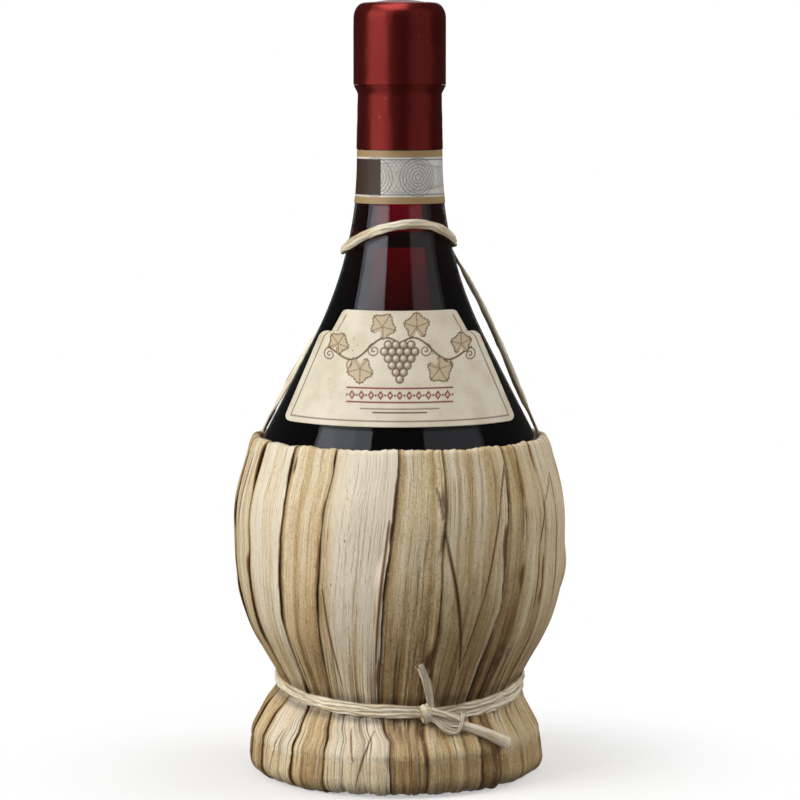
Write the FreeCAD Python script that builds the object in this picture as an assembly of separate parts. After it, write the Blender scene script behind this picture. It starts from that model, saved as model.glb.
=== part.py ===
import FreeCAD
import Part
import math
import os

# A round-bottomed wine flask in a straw cover, sealed with a cork and a foil capsule.
# The flask is blown glass with no flat foot, so the straw cover gives it one: leaf strips run from a
# hoop at the rim, down over the globe, through a tie at the waist and round a straw foot ring.
# Millimetres, +Z up, origin on the floor under the flask's axis. The label faces -Y.

Vector = FreeCAD.Vector
UP = Vector(0, 0, 1)
ORIGIN = Vector(0, 0, 0)
FULL_TURN = 360.0
OVERRUN = 2.0

# Flask glass
BULB_R = 54.3
BULB_STRAIGHT = 7.4
GLASS_WALL = 2.6
NECK_R = 14.0
NECK_TOP_R = 13.5
SHOULDER_ANGLE = 27.15
FLARE_R = 133.8
NECK_L = 49.5
FINISH_R = 14.9
FINISH_H = 25.4
FINISH_CHAMFER = 1.4
FINISH_ROUND = 3.0
BORE_R = 9.25
BORE_DEPTH = 51.0
FILL_BELOW_MOUTH = 57.0
WINE_GAP = 0.02

# Cork
CORK_L = 44.0
CORK_CLEARANCE = 0.05
CORK_BELOW_MOUTH = 0.5
CORK_CHAMFER = 1.0

# Foil capsule, parted under the finish
FOIL = 0.3
FOIL_CLEARANCE = 0.15
CAP_ROUND = 3.6
CAP_OPENING_R = 11.4
CAP_PARTING_GAP = 0.15
SKIRT_H = 22.1
DISC_FOIL = 0.4
DISC_LAP = 0.7
DISC_RISE = 1.3
DISC_SEAT_GAP = 0.1

# Paper
PAPER = 0.2
PAPER_GAP = 0.05
BAND_H = 17.5
BAND_BELOW_SKIRT = 0.2
LABEL_ABOVE_HOOP = 8.2
LABEL_H = 36.3
LABEL_STEP_DROP = 7.2
LABEL_TOP_HALF = 18.4
LABEL_STEP_IN_HALF = 22.4
LABEL_STEP_OUT_HALF = 25.9
LABEL_BASE_HALF = 38.4
LABEL_CORNER_R = 2.2
LABEL_NOTCH_R = 0.6

# Straw cover
LEAF = 0.5
LEAF_GAP = 0.05
LEAF_LAP = 2.6
LEAF_FIRST_AZIMUTH = -80.0
LEAF_WIDTH_SHARES = (14, 22, 17, 27, 13, 24, 9, 12, 24, 19, 15, 22, 16, 20, 14, 23, 17, 21, 13, 18)
LEAF_END_ANGLE = 160.0
HOOP_R = 0.6
RIM_UP_CONE = 4.2
FOOT_TUBE_R = 13.3
FOOT_EDGE_TUBE_R = 9.9
FOOT_IN = 16.6
FOOT_FLAT = 8.7
FOOT_SEAT_GAP = 0.1
WAIST_IN = 14.0
WAIST_GROOVE_R = 4.0
WAIST_ABOVE_FOOT = 17.6

# Waist tie
TIE_D = 1.6
TIE_TURN_GAP = 0.45
TIE_TURNS = 2
TIE_SEAT_GAP = 0.1
KNOT_AZIMUTH = 20.0
KNOT_HALF_L = 5.7
KNOT_BUNDLE_R = 1.7
KNOT_COLLAR_R = 2.4
KNOT_COLLAR_L = 2.8
KNOT_DROP_LEFT = 0.4
KNOT_DROP_RIGHT = 5.8
KNOT_SEAT_GAP = 0.2
TAIL_SEAT_GAP = 0.1
UP_TAIL_L = 14.5
UP_TAIL_BASE_HALF = 1.3
UP_TAIL_TIP_HALF = 2.3
UP_TAIL_SIDE = 3.6
UP_TAIL_THICK = 0.8
UP_TAIL_LEAN = 4.6
DOWN_TAIL_L = 17.5
DOWN_TAIL_R = 1.6
DOWN_TAIL_WALL = 0.45
DOWN_TAIL_DROP = 8.2
DOWN_TAIL_LEAN = 0.6

# Neck cord: one strand from the rim, one and a third turns round the neck and back to the rim
CORD_D = 2.2
CORD_SEAT_GAP = 0.2
CORD_LAYER_RISE = 3.0
CORD_LOW_ABOVE_BULB = 91.9
CORD_FRONT_RISE = 8.4
CORD_CREST_AZIMUTH = 374.0
CORD_FIRST_AZIMUTH = 133.0
CORD_LAST_AZIMUTH = 565.0
CORD_STEPS = 21
CORD_ARC_SHARE = 0.45
# Points of the two free stretches: azimuth from the front, distance from the axis and height, in order
# from the right rim up to the neck, and from the neck down to the left rim.
CORD_RIGHT_POINTS = (
    (97.5, 46.8, 113.5), (98.6, 41.7, 125.3), (100.2, 36.3, 138.7), (102.9, 30.6, 152.0), (107.4, 24.1, 165.3),
    (112.5, 20.6, 171.6), (121.0, 19.5, 174.3),
)
CORD_LEFT_POINTS = (
    (216.0, 20.9, 177.8), (226.0, 23.0, 175.5), (231.0, 23.0, 170.4), (234.5, 24.2, 162.5), (242.0, 27.9, 151.0),
    (252.5, 32.1, 142.6), (258.5, 37.0, 132.6), (260.3, 41.8, 123.2), (260.5, 46.6, 113.9),
)

# Heights and stacks worked out from the driving dimensions
LEAF_STACK = 2 * (LEAF_GAP + LEAF)
FOOT_Z = FOOT_TUBE_R + LEAF_STACK
FOOT_EDGE_Z = FOOT_EDGE_TUBE_R + LEAF_STACK
FOOT_OUTER_R = BULB_R - FOOT_IN
FOOT_INNER_R = FOOT_OUTER_R - FOOT_FLAT
BULB_SEAT = BULB_R + FOOT_TUBE_R + FOOT_SEAT_GAP
BULB_LOW_Z = FOOT_Z + math.sqrt(BULB_SEAT ** 2 - FOOT_INNER_R ** 2)
BULB_HIGH_Z = BULB_LOW_Z + BULB_STRAIGHT
SHOULDER_LEAN = math.radians(SHOULDER_ANGLE)
FLARE_REACH = BULB_R + FLARE_R - (NECK_R + FLARE_R) * math.cos(SHOULDER_LEAN)
FLARE_Z = BULB_HIGH_Z + FLARE_REACH / math.sin(SHOULDER_LEAN)
MOUTH_Z = FLARE_Z + NECK_L
FINISH_Z = MOUTH_Z - FINISH_H
NECK_TOP_Z = FINISH_Z - FINISH_CHAMFER
BORE_Z = MOUTH_Z - BORE_DEPTH
FILL_Z = MOUTH_Z - FILL_BELOW_MOUTH
SKIRT_Z = FINISH_Z - SKIRT_H
BAND_TOP_Z = SKIRT_Z - BAND_BELOW_SKIRT
WAIST_Z = FOOT_Z + WAIST_ABOVE_FOOT
WAIST_CENTRE_R = BULB_R - WAIST_IN + WAIST_GROOVE_R
TIE_PITCH = TIE_D + TIE_TURN_GAP


def flat(r, z):
    """A point of the half plane that is spun about the axis."""
    return Vector(r, 0, z)


def around(azimuth, r, z):
    """A point at an azimuth in degrees from the front, positive to the right, at a distance from the axis."""
    angle = math.radians(azimuth)
    return Vector(r * math.sin(angle), -r * math.cos(angle), z)


def at_azimuth(shape, azimuth):
    """A copy of a shape drawn in the half plane, turned to an azimuth."""
    turned = shape.copy()
    turned.rotate(ORIGIN, UP, azimuth - FULL_TURN / 4)
    return turned


def left_normal(direction):
    """The unit normal to the left of a direction in the half plane."""
    return flat(-direction.z, direction.x)


def tangent_normal(first, second):
    """Left normal of the line that leaves one circle and meets the next, each (centre, radius).
    A radius is positive where the centre lies to the left of the path, and negative to the right."""
    span = second[0] - first[0]
    turn = math.asin((first[1] - second[1]) / span.Length)
    angle = math.atan2(span.z, span.x) + turn
    return left_normal(flat(math.cos(angle), math.sin(angle)))


def belt(circles, first_normal, last_normal):
    """Edges of a path that bends round a row of circles like a belt, with straight runs between them."""
    normals = [first_normal]
    normals += [tangent_normal(a, b) for a, b in zip(circles, circles[1:])]
    normals.append(last_normal)
    edges = []
    end = None
    for (centre, radius), enter, leave in zip(circles, normals, normals[1:]):
        start = centre - enter * radius
        if end is not None and start.distanceToPoint(end) > 0:
            edges.append(Part.makeLine(end, start))
        end = start
        if radius == 0:
            continue
        from_angle = math.atan2(enter.z, enter.x)
        to_angle = math.atan2(leave.z, leave.x)
        while radius < 0 and to_angle > from_angle:
            to_angle -= math.tau
        while radius > 0 and to_angle < from_angle:
            to_angle += math.tau
        middle = (from_angle + to_angle) / 2
        half_way = centre - flat(math.cos(middle), math.sin(middle)) * radius
        end = centre - leave * radius
        edges.append(Part.Arc(start, half_way, end).toShape())
    return edges


def ends_of(edges):
    """First and last point of a row of edges."""
    return edges[0].firstVertex(True).Point, edges[-1].lastVertex(True).Point


def spun(edges):
    """A solid from a closed row of edges in the half plane, spun a full turn about the axis."""
    wire = Part.Wire(Part.__sortEdges__(edges))
    return Part.Face(wire).revolve(ORIGIN, UP, FULL_TURN)


def spun_outline(points):
    """A full solid of revolution from the corners of its outline, each (r, z)."""
    return spun(Part.makePolygon([flat(r, z) for r, z in [*points, points[0]]]).Edges)


def slab(low, high):
    """A wide block between two heights, to take a slice with."""
    reach = 2 * BULB_R
    return Part.makeBox(2 * reach, 2 * reach, high - low, Vector(-reach, -reach, low))


def flask_circles(inset):
    """The circles that shape the flask: the two half globes and the concave flare to the neck."""
    flare_centre = flat(NECK_R + FLARE_R, FLARE_Z)
    return [
        (flat(0, BULB_LOW_Z), BULB_R - inset),
        (flat(0, BULB_HIGH_Z), BULB_R - inset),
        (flare_centre, -(FLARE_R + inset)),
    ]


def flask_form(inset, neck_r, neck_z):
    """A full solid of the flask's form, sunk by an inset, up to a flat end of the neck."""
    circles = flask_circles(inset) + [(flat(neck_r, neck_z), 0)]
    edges = belt(circles, UP, left_normal(UP))
    pole, neck = ends_of(edges)
    top = flat(0, neck_z)
    return spun(edges + [Part.makeLine(neck, top), Part.makeLine(top, pole)])


def paper_form(inner_gap, thick, low, high):
    """A thin shell that follows the outside of the flask between two heights."""
    outer = flask_form(-(inner_gap + thick), NECK_TOP_R + inner_gap + thick, NECK_TOP_Z)
    inner = flask_form(-inner_gap, NECK_TOP_R + inner_gap, NECK_TOP_Z)
    return outer.cut(inner).common(slab(low, high))


def neck_line_r(z):
    """Outside radius of the straight neck at a height above the flare."""
    share = (z - FLARE_Z) / (NECK_TOP_Z - FLARE_Z)
    return NECK_R + (NECK_TOP_R - NECK_R) * share


def shoulder_r(z):
    """Outside radius of the flask between the globe and the straight neck."""
    if z >= FLARE_Z:
        return neck_line_r(z)
    globe, flare = flask_circles(0)[1:]
    normal = tangent_normal(globe, flare)
    cone_low = globe[0] - normal * globe[1]
    cone_high = flare[0] - normal * flare[1]
    if z >= cone_high.z:
        return NECK_R + FLARE_R - math.sqrt(FLARE_R ** 2 - (FLARE_Z - z) ** 2)
    return cone_high.x + (cone_low.x - cone_high.x) * (cone_high.z - z) / (cone_high.z - cone_low.z)


def glass_flask():
    """Blown glass: round bottom, long shoulder, straight neck and a tall finish for the cork."""
    outer = flask_form(0, NECK_TOP_R, NECK_TOP_Z)
    finish = spun_outline([
        (0, NECK_TOP_Z), (NECK_TOP_R, NECK_TOP_Z), (FINISH_R, FINISH_Z), (FINISH_R, MOUTH_Z), (0, MOUTH_Z)])
    rim = [e for e in finish.Edges if e.BoundBox.ZMin > FINISH_Z + FINISH_H / 2 and e.Closed]
    finish = finish.makeFillet(FINISH_ROUND, rim)
    hollow = flask_form(GLASS_WALL, BORE_R, BORE_Z)
    bore = Part.makeCylinder(BORE_R, BORE_DEPTH + OVERRUN, flat(0, BORE_Z))
    return outer.fuse(finish).removeSplitter().cut(hollow.fuse(bore).removeSplitter())


def wine_fill():
    """The wine, up to its filling height in the neck."""
    form = flask_form(GLASS_WALL + WINE_GAP, BORE_R - WINE_GAP, BORE_Z)
    return form.common(slab(0, FILL_Z))


def cork():
    """A straight natural cork, squeezed to the bore, with its two edges eased."""
    top = MOUTH_Z - CORK_BELOW_MOUTH
    body = Part.makeCylinder(BORE_R - CORK_CLEARANCE, CORK_L, flat(0, top - CORK_L))
    return body.makeChamfer(CORK_CHAMFER, [e for e in body.Edges if e.Closed])


def capsule_levels():
    """Heights of the cap's roof: under the foil and on top of it."""
    under = MOUTH_Z + DISC_SEAT_GAP + DISC_FOIL + DISC_SEAT_GAP
    return under, under + FOIL


def capsule_cap():
    """The part of the capsule that comes away: a foil sleeve over the finish, turned in over the disc."""
    under, top = capsule_levels()
    low = FINISH_Z + CAP_PARTING_GAP
    inner_r = FINISH_R + FOIL_CLEARANCE
    shell = None
    for radius, height, ease in ((inner_r + FOIL, top, CAP_ROUND), (inner_r, under, CAP_ROUND - FOIL)):
        form = Part.makeCylinder(radius, height - low, flat(0, low))
        rim = [e for e in form.Edges if e.Closed and e.BoundBox.ZMin > (low + height) / 2]
        form = form.makeFillet(ease, rim)
        shell = form if shell is None else shell.cut(form)
    return shell.cut(Part.makeCylinder(CAP_OPENING_R, top + OVERRUN - MOUTH_Z, flat(0, MOUTH_Z)))


def capsule_top_disc():
    """A thin domed disc under the turned-in edge of the cap."""
    low = MOUTH_Z + DISC_SEAT_GAP
    edge_r = CAP_OPENING_R + DISC_LAP
    dome_r = CAP_OPENING_R - DISC_LAP
    dome = []
    for level in (low, low + DISC_FOIL):
        crown = flat(0, level + DISC_RISE)
        half_way = flat(dome_r / 2, level + DISC_RISE * 3 / 4)
        dome.append([
            Part.Arc(crown, half_way, flat(dome_r, level)).toShape(),
            Part.makeLine(flat(dome_r, level), flat(edge_r, level))])
    (under_crown, under_edge), (top_crown, top_edge) = [ends_of(row) for row in dome]
    joins = [Part.makeLine(under_crown, top_crown), Part.makeLine(under_edge, top_edge)]
    return spun(dome[0] + dome[1] + joins)


def capsule_skirt():
    """The sleeve of the capsule that stays on the neck, flared under the finish."""
    gap = FOIL_CLEARANCE
    drop = FOIL_CLEARANCE * math.sqrt(2)
    outside = [(shoulder_r(SKIRT_Z), SKIRT_Z), (NECK_TOP_R, NECK_TOP_Z - drop), (FINISH_R, FINISH_Z - drop)]
    inner = [(r + gap, z) for r, z in outside]
    outer = [(r + gap + FOIL, z - (FOIL if i else 0)) for i, (r, z) in enumerate(outside)]
    return spun_outline(inner + outer[::-1])


def neck_band():
    """A paper strip glued round the neck under the capsule."""
    return paper_form(PAPER_GAP, PAPER, BAND_TOP_Z - BAND_H, BAND_TOP_Z)


def rounded_wire(points, radii):
    """A closed outline with straight sides and an arc of the given radius at each corner."""
    arcs = []
    for before, corner, after, radius in zip(points[-1:] + points, points, points[1:] + points[:1], radii):
        back = (before - corner).normalize()
        ahead = (after - corner).normalize()
        half = back.getAngle(ahead) / 2
        reach = radius / math.tan(half)
        inward = (back + ahead).normalize()
        middle = corner + inward * (radius / math.sin(half) - radius)
        arcs.append((corner + back * reach, middle, corner + ahead * reach))
    edges = []
    last = arcs[-1][2]
    for start, middle, end in arcs:
        edges.append(Part.makeLine(last, start))
        edges.append(Part.Arc(start, middle, end).toShape())
        last = end
    return Part.Wire(edges)


def front_label():
    """A die-cut paper label with stepped shoulders, wrapped on the front of the flask."""
    base = hoop_centre().z + LABEL_ABOVE_HOOP
    top = base + LABEL_H
    step = top - LABEL_STEP_DROP
    right = [
        (LABEL_BASE_HALF, base, LABEL_CORNER_R),
        (LABEL_STEP_OUT_HALF, step, LABEL_CORNER_R),
        (LABEL_STEP_IN_HALF, step, LABEL_NOTCH_R),
        (LABEL_TOP_HALF, top, LABEL_CORNER_R / 2),
    ]
    corners = right + [(-x, z, r) for x, z, r in right[::-1]]
    outline = rounded_wire([flat(x, z) for x, z, r in corners], [r for x, z, r in corners])
    reach = BULB_R + OVERRUN
    punch = Part.Face(outline).extrude(Vector(0, -reach, 0))
    return paper_form(PAPER_GAP, PAPER, base, top).common(punch)


def cone_normal():
    """Outward normal of the straight shoulder."""
    globe, flare = flask_circles(0)[1:]
    return tangent_normal(globe, flare) * -1


def hoop_centre():
    """Where the rim hoop's cord runs, a leaf fold clear of the straight shoulder."""
    outward = cone_normal()
    along = flat(-outward.z, outward.x)
    foot = flat(0, BULB_HIGH_Z) + outward * BULB_R + along * RIM_UP_CONE
    return foot + outward * (LEAF_GAP + LEAF_STACK + HOOP_R)


def cover_path(depth):
    """Edges of the straw cover's section, sunk by a depth below its outermost surface."""
    circles = [
        (hoop_centre(), depth - HOOP_R - LEAF_STACK),
        (flat(0, BULB_HIGH_Z), depth - BULB_R - LEAF_STACK),
        (flat(0, BULB_LOW_Z), depth - BULB_R - LEAF_STACK),
        (flat(WAIST_CENTRE_R, WAIST_Z), WAIST_GROOVE_R + depth),
        (flat(FOOT_OUTER_R, FOOT_EDGE_Z), depth - FOOT_EDGE_TUBE_R - LEAF_STACK),
        (flat(FOOT_INNER_R, FOOT_Z), depth - FOOT_TUBE_R - LEAF_STACK),
    ]
    end = math.radians(LEAF_END_ANGLE)
    return belt(circles, cone_normal() * -1, flat(math.cos(end), math.sin(end)))


def leaf_section(depth):
    """The closed section of one layer of leaf at a depth below the outermost surface."""
    outer = cover_path(depth)
    inner = cover_path(depth + LEAF)
    joins = [Part.makeLine(a, b) for a, b in zip(ends_of(outer), ends_of(inner))]
    return Part.Face(Part.Wire(Part.__sortEdges__(outer + inner + joins)))


def leaves():
    """The leaf strips by name: wide ones lapped by their neighbours, in two layers that take turns."""
    lap = math.degrees(LEAF_LAP / BULB_R)
    layers = {"over": (leaf_section(0), 0), "under": (leaf_section(LEAF + LEAF_GAP), lap)}
    strips = {}
    azimuth = LEAF_FIRST_AZIMUTH
    for i, share in enumerate(LEAF_WIDTH_SHARES):
        width = FULL_TURN * share / sum(LEAF_WIDTH_SHARES)
        layer = ("over", "under")[i % 2]
        section, spare = layers[layer]
        start = at_azimuth(section, azimuth - spare)
        name = f"leaf_{layer}_{i // 2 + 1:02d}"
        strips[name] = start.revolve(ORIGIN, UP, width + 2 * spare)
        azimuth += width
    return strips


def rim_hoop():
    """The hoop of straw cord that the leaves are folded over at the rim."""
    centre = hoop_centre()
    return Part.makeTorus(centre.x, HOOP_R, flat(0, centre.z))


def foot_ring():
    """The ring of packed straw that the flask stands in, flat underneath and fuller towards the inside."""
    inner = (flat(FOOT_INNER_R, FOOT_Z), -FOOT_TUBE_R)
    outer = (flat(FOOT_OUTER_R, FOOT_EDGE_Z), -FOOT_EDGE_TUBE_R)
    inward = left_normal(UP)
    return spun(belt([inner, outer, inner], inward, inward))


def tube(path, diameter):
    """A round strand along a row of edges that run smoothly into each other."""
    wire = Part.Wire(path)
    start = path[0].firstVertex(True).Point
    ring = Part.Wire(Part.makeCircle(diameter / 2, start, path[0].tangentAt(path[0].FirstParameter)))
    solid = wire.makePipeShell([ring], True, False)
    expected = math.pi * diameter ** 2 / 4 * wire.Length
    print(f"strand of {wire.Length:.1f} mm: volume is {solid.Volume / expected:.4f} of its section times length")
    return solid


def least_gap(path, diameter):
    """Least gap between the turns of a winding, from points along it that lie half a turn or more apart."""
    wire = Part.Wire(path)
    points = wire.discretize(Distance=diameter)
    reach = max(wire.BoundBox.XLength, wire.BoundBox.YLength)
    apart = round(reach / diameter)
    spans = [p.distanceToPoint(q) for i, p in enumerate(points) for q in points[i + apart:]]
    return min(spans) - diameter


def tie_centre_r():
    """Distance from the axis at which the tie lies in the waist's groove."""
    room = WAIST_GROOVE_R - TIE_D / 2 - TIE_SEAT_GAP
    return WAIST_CENTRE_R - math.sqrt(room ** 2 - TIE_PITCH ** 2)


def waist_tie():
    """The raffia tie wound round the waist, in half turns that climb by half a pitch."""
    radius = tie_centre_r()
    low = WAIST_Z - TIE_PITCH * TIE_TURNS / 2
    quarter = FULL_TURN / 4
    points = [
        around(KNOT_AZIMUTH + quarter * i, radius, low + TIE_PITCH * i / 4) for i in range(4 * TIE_TURNS + 1)]
    arcs = [Part.Arc(*points[i:i + 3]).toShape() for i in range(0, 4 * TIE_TURNS, 2)]
    print(f"waist tie: least gap to itself is {least_gap(arcs, TIE_D):.2f} mm")
    return tube(arcs, TIE_D)


def knot_frame():
    """How far out the knot's middle lies, and its directions outward and to the right along the tie."""
    wrap_r = tie_centre_r() + TIE_D / 2 + KNOT_SEAT_GAP + KNOT_COLLAR_R
    middle_r = math.sqrt(wrap_r ** 2 - KNOT_HALF_L ** 2)
    return middle_r, around(KNOT_AZIMUTH, 1, 0), around(KNOT_AZIMUTH + FULL_TURN / 4, 1, 0)


def knot_point(side, rise, lean=0):
    """A point beside the knot: to the right, above the waist and further out."""
    middle_r, outward, rightward = knot_frame()
    return outward * (middle_r + lean) + rightward * side + UP * (WAIST_Z + rise)


def rod(start, end, radius):
    """A round bar with hemispherical ends."""
    along = end - start
    bar = Part.makeCylinder(radius, along.Length, start, along)
    for tip in (start, end):
        bar = bar.fuse(Part.makeSphere(radius, tip))
    return bar.removeSplitter()


def knot_ends():
    """The two ends of the knot's bundle, left and right."""
    return knot_point(-KNOT_HALF_L, -KNOT_DROP_LEFT), knot_point(KNOT_HALF_L, -KNOT_DROP_RIGHT)


def waist_knot():
    """The overhand knot of the tie: a slanting bundle with a wrap at each end."""
    left, right = knot_ends()
    along = (right - left).normalize()
    bundle = rod(left, right, KNOT_BUNDLE_R)
    for centre in (left, right):
        bundle = bundle.fuse(Part.makeCylinder(
            KNOT_COLLAR_R, KNOT_COLLAR_L, centre - along * (KNOT_COLLAR_L / 2), along))
    return bundle.removeSplitter()


def knot_tail_up():
    """The flat end of the tie that stands up from the left wrap, wider at its cut tip."""
    left, right = knot_ends()
    along = (right - left).normalize()
    outward = knot_frame()[1]
    base = left + along.cross(outward) * -(KNOT_COLLAR_R + TAIL_SEAT_GAP)
    tip = knot_point(-KNOT_HALF_L - UP_TAIL_SIDE, UP_TAIL_L, UP_TAIL_LEAN)
    corners = [
        base - along * UP_TAIL_BASE_HALF, base + along * UP_TAIL_BASE_HALF,
        tip + along * UP_TAIL_TIP_HALF, tip - along * UP_TAIL_TIP_HALF,
    ]
    face = Part.Face(Part.makePolygon(corners + corners[:1]))
    return face.extrude(outward * UP_TAIL_THICK)


def knot_tail_down():
    """The rolled end of the tie that points down to the right, hollow like a straw."""
    right = knot_ends()[1]
    tip = knot_point(KNOT_HALF_L + DOWN_TAIL_L, -KNOT_DROP_RIGHT - DOWN_TAIL_DROP, DOWN_TAIL_LEAN)
    aim = (tip - right).normalize()
    start = right + aim * (KNOT_BUNDLE_R + TAIL_SEAT_GAP)
    roll = Part.makeCylinder(DOWN_TAIL_R, DOWN_TAIL_L, start, aim)
    return roll.cut(Part.makeCylinder(DOWN_TAIL_R - DOWN_TAIL_WALL, DOWN_TAIL_L, start, aim))


def neck_turn_points():
    """Points of the neck cord's turns: level behind the neck, lifted across its front."""
    low = BULB_HIGH_Z + CORD_LOW_ABOVE_BULB
    step = (CORD_LAST_AZIMUTH - CORD_FIRST_AZIMUTH) / CORD_STEPS
    corner = math.cos(math.radians(step / 2))
    points = []
    for i in range(CORD_STEPS + 1):
        azimuth = CORD_FIRST_AZIMUTH + step * i
        share = i / CORD_STEPS
        climb = (1 - math.cos(math.pi * share)) / 2 * CORD_LAYER_RISE
        from_crest = min(abs(azimuth - CORD_CREST_AZIMUTH), FULL_TURN / 4)
        z = low + climb + CORD_FRONT_RISE * math.cos(math.radians(from_crest)) ** 1.5
        r = shoulder_r(z - CORD_D / 2) + CORD_SEAT_GAP + CORD_D / 2
        points.append(around(azimuth, r / corner, z))
    return points


def route(points):
    """Straight runs joined by tangent arcs, each as large as the shorter of its two runs allows."""
    edges = []
    last = points[0]
    radii = []
    for before, corner, after in zip(points, points[1:], points[2:]):
        back = before - corner
        ahead = after - corner
        reach = CORD_ARC_SHARE * min(back.Length, ahead.Length)
        back.normalize()
        ahead.normalize()
        half = back.getAngle(ahead) / 2
        radius = reach * math.tan(half)
        middle = corner + (back + ahead).normalize() * (radius / math.sin(half) - radius)
        edges.append(Part.makeLine(last, corner + back * reach))
        last = corner + ahead * reach
        edges.append(Part.Arc(corner + back * reach, middle, last).toShape())
        radii.append(radius)
    edges.append(Part.makeLine(last, points[-1]))
    return edges, radii


def neck_cord():
    """The neck cord in its three stretches: free on the right, wound on the neck, free on the left."""
    right = [around(*p) for p in CORD_RIGHT_POINTS]
    turns = neck_turn_points()
    left = [around(*p) for p in CORD_LEFT_POINTS]
    edges, radii = route(right + turns + left)
    print("neck cord arc radii: " + " ".join(f"{r:.0f}" for r in radii))
    first = 2 * len(right) - 1
    last = 2 * (len(right) + len(turns)) - 2
    print(f"neck cord: least gap to itself is {least_gap(edges[first:last], CORD_D):.2f} mm")
    return {
        "neck_strap_right": tube(edges[:first], CORD_D),
        "neck_cord_turns": tube(edges[first:last], CORD_D),
        "neck_strap_left": tube(edges[last:], CORD_D),
    }


def parts():
    """Every piece of the flask by its name."""
    made = {
        "glass_flask": glass_flask(),
        "wine_fill": wine_fill(),
        "cork": cork(),
        "capsule_cap": capsule_cap(),
        "capsule_top_disc": capsule_top_disc(),
        "capsule_skirt": capsule_skirt(),
        "neck_band": neck_band(),
        "front_label": front_label(),
        "rim_hoop": rim_hoop(),
        "foot_ring": foot_ring(),
        "waist_tie": waist_tie(),
        "waist_knot": waist_knot(),
        "knot_tail_up": knot_tail_up(),
        "knot_tail_down": knot_tail_down(),
    }
    made.update(leaves())
    made.update(neck_cord())
    return made


def main():
    os.makedirs("parts", exist_ok=True)
    for name, shape in parts().items():
        shape.exportStep(f"parts/{name}.step")
        solids = len(shape.Solids)
        print(f"{name}: {solids} solid, {shape.Volume / 1000:.3f} cm3, valid {shape.isValid()}")


main()
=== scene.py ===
"""The looks of a wine flask in a straw cover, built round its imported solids.

Metres, +Z up, origin on the floor under the flask's axis, label towards -Y. Azimuths are in degrees from the
front, positive to the right. A section point is a complex number: its distance from the axis plus 1j times
its height.
"""
import math

import bpy
import numpy as np
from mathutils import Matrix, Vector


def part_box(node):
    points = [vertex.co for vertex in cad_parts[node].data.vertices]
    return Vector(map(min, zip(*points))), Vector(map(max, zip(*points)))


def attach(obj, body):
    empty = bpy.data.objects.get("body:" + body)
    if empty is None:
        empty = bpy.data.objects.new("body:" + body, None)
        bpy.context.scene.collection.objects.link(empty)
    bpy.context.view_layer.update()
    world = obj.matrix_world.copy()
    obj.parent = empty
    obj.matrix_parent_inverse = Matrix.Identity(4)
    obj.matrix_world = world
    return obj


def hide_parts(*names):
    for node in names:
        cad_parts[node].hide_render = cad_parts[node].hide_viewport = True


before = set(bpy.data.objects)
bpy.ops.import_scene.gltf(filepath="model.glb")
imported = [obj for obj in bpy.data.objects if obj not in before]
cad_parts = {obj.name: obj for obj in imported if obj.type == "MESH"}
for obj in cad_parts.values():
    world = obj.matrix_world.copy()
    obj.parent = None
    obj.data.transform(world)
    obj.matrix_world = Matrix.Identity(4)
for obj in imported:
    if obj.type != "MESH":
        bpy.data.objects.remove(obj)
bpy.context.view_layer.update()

MM = 0.001
TURN = 360.0
TINY = 1e-9

# Flask, from its solids and the sizes that shape them
BULB_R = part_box("glass_flask")[1].x
BULB_LOW_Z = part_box("glass_flask")[0].z + BULB_R
MOUTH_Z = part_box("glass_flask")[1].z
FILL_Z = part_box("wine_fill")[1].z
BULB_HIGH_Z = BULB_LOW_Z + 7.4 * MM
GLASS_WALL = 2.6 * MM
GLASS_STEP = 1.4 * MM
NECK_R = 14.0 * MM
NECK_TOP_R = 13.5 * MM
FLARE_R = 133.8 * MM
FLARE_Z = MOUTH_Z - 49.5 * MM
FINISH_R = 14.9 * MM
FINISH_Z = MOUTH_Z - 25.4 * MM
FINISH_CHAMFER = 1.4 * MM
FINISH_ROUND = 4.4 * MM
BORE_R = 9.25 * MM
BORE_Z = MOUTH_Z - 51.0 * MM
WINE_OVERLAP = 0.03 * MM
SHOULDER_ANGLE = math.radians(27.15)

# Section of the straw cover, and its strips' widths and lap in degrees
LEAF = 0.5 * MM
LEAF_STACK = 1.1 * MM
HOOP_R = 0.6 * MM
RIM_UP_CONE = 4.2 * MM
FOOT_TUBE_R = 13.3 * MM
FOOT_EDGE_TUBE_R = 5.0 * MM
FOOT_SIDE_TUBE_R = 8.9 * MM
FOOT_SIDE = complex(BULB_R - 15.6 * MM, 12.5 * MM)
FOOT_EDGE = complex(BULB_R - 11.1 * MM, FOOT_EDGE_TUBE_R + LEAF_STACK)
FOOT_INNER = complex(BULB_R - 25.3 * MM, FOOT_TUBE_R + LEAF_STACK)
COVER_END_ANGLE = math.radians(160)
WAIST_R = BULB_R - 14.0 * MM
WAIST_GROOVE_R = 4.0 * MM
WAIST_Z = FOOT_INNER.imag + 17.6 * MM
WAIST_DIP = 5.2 * MM
WAIST_DIP_REACH = 13.0 * MM
WAIST_DIP_NARROW = 1.2
FOOT_ASIDE = 1.4 * MM
# How far below the waist the foot starts to be aside, and is wholly aside
ASIDE_START = 1 * MM
ASIDE_WHOLE = 9 * MM
LEAF_FIRST_AZIMUTH = -80.0
LEAF_WIDTHS = (14, 22, 17, 27, 13, 24, 9, 12, 24, 19, 15, 22, 16, 20, 14, 23, 17, 21, 13, 18)
LEAF_LAP = 3.4


def stacked(*parts):
    """Arrays spread to one shape and stacked along a new last axis."""
    return np.stack(np.broadcast_arrays(*parts), -1)


def around(azimuth, r, z):
    """Points at azimuths from the front, distances from the axis and heights, in one array."""
    angle = np.radians(azimuth)
    return stacked(r * np.sin(angle), -r * np.cos(angle), z)


def unit(vectors):
    """Vectors scaled to length one."""
    return vectors / np.linalg.norm(vectors, axis=-1, keepdims=True)


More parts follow.
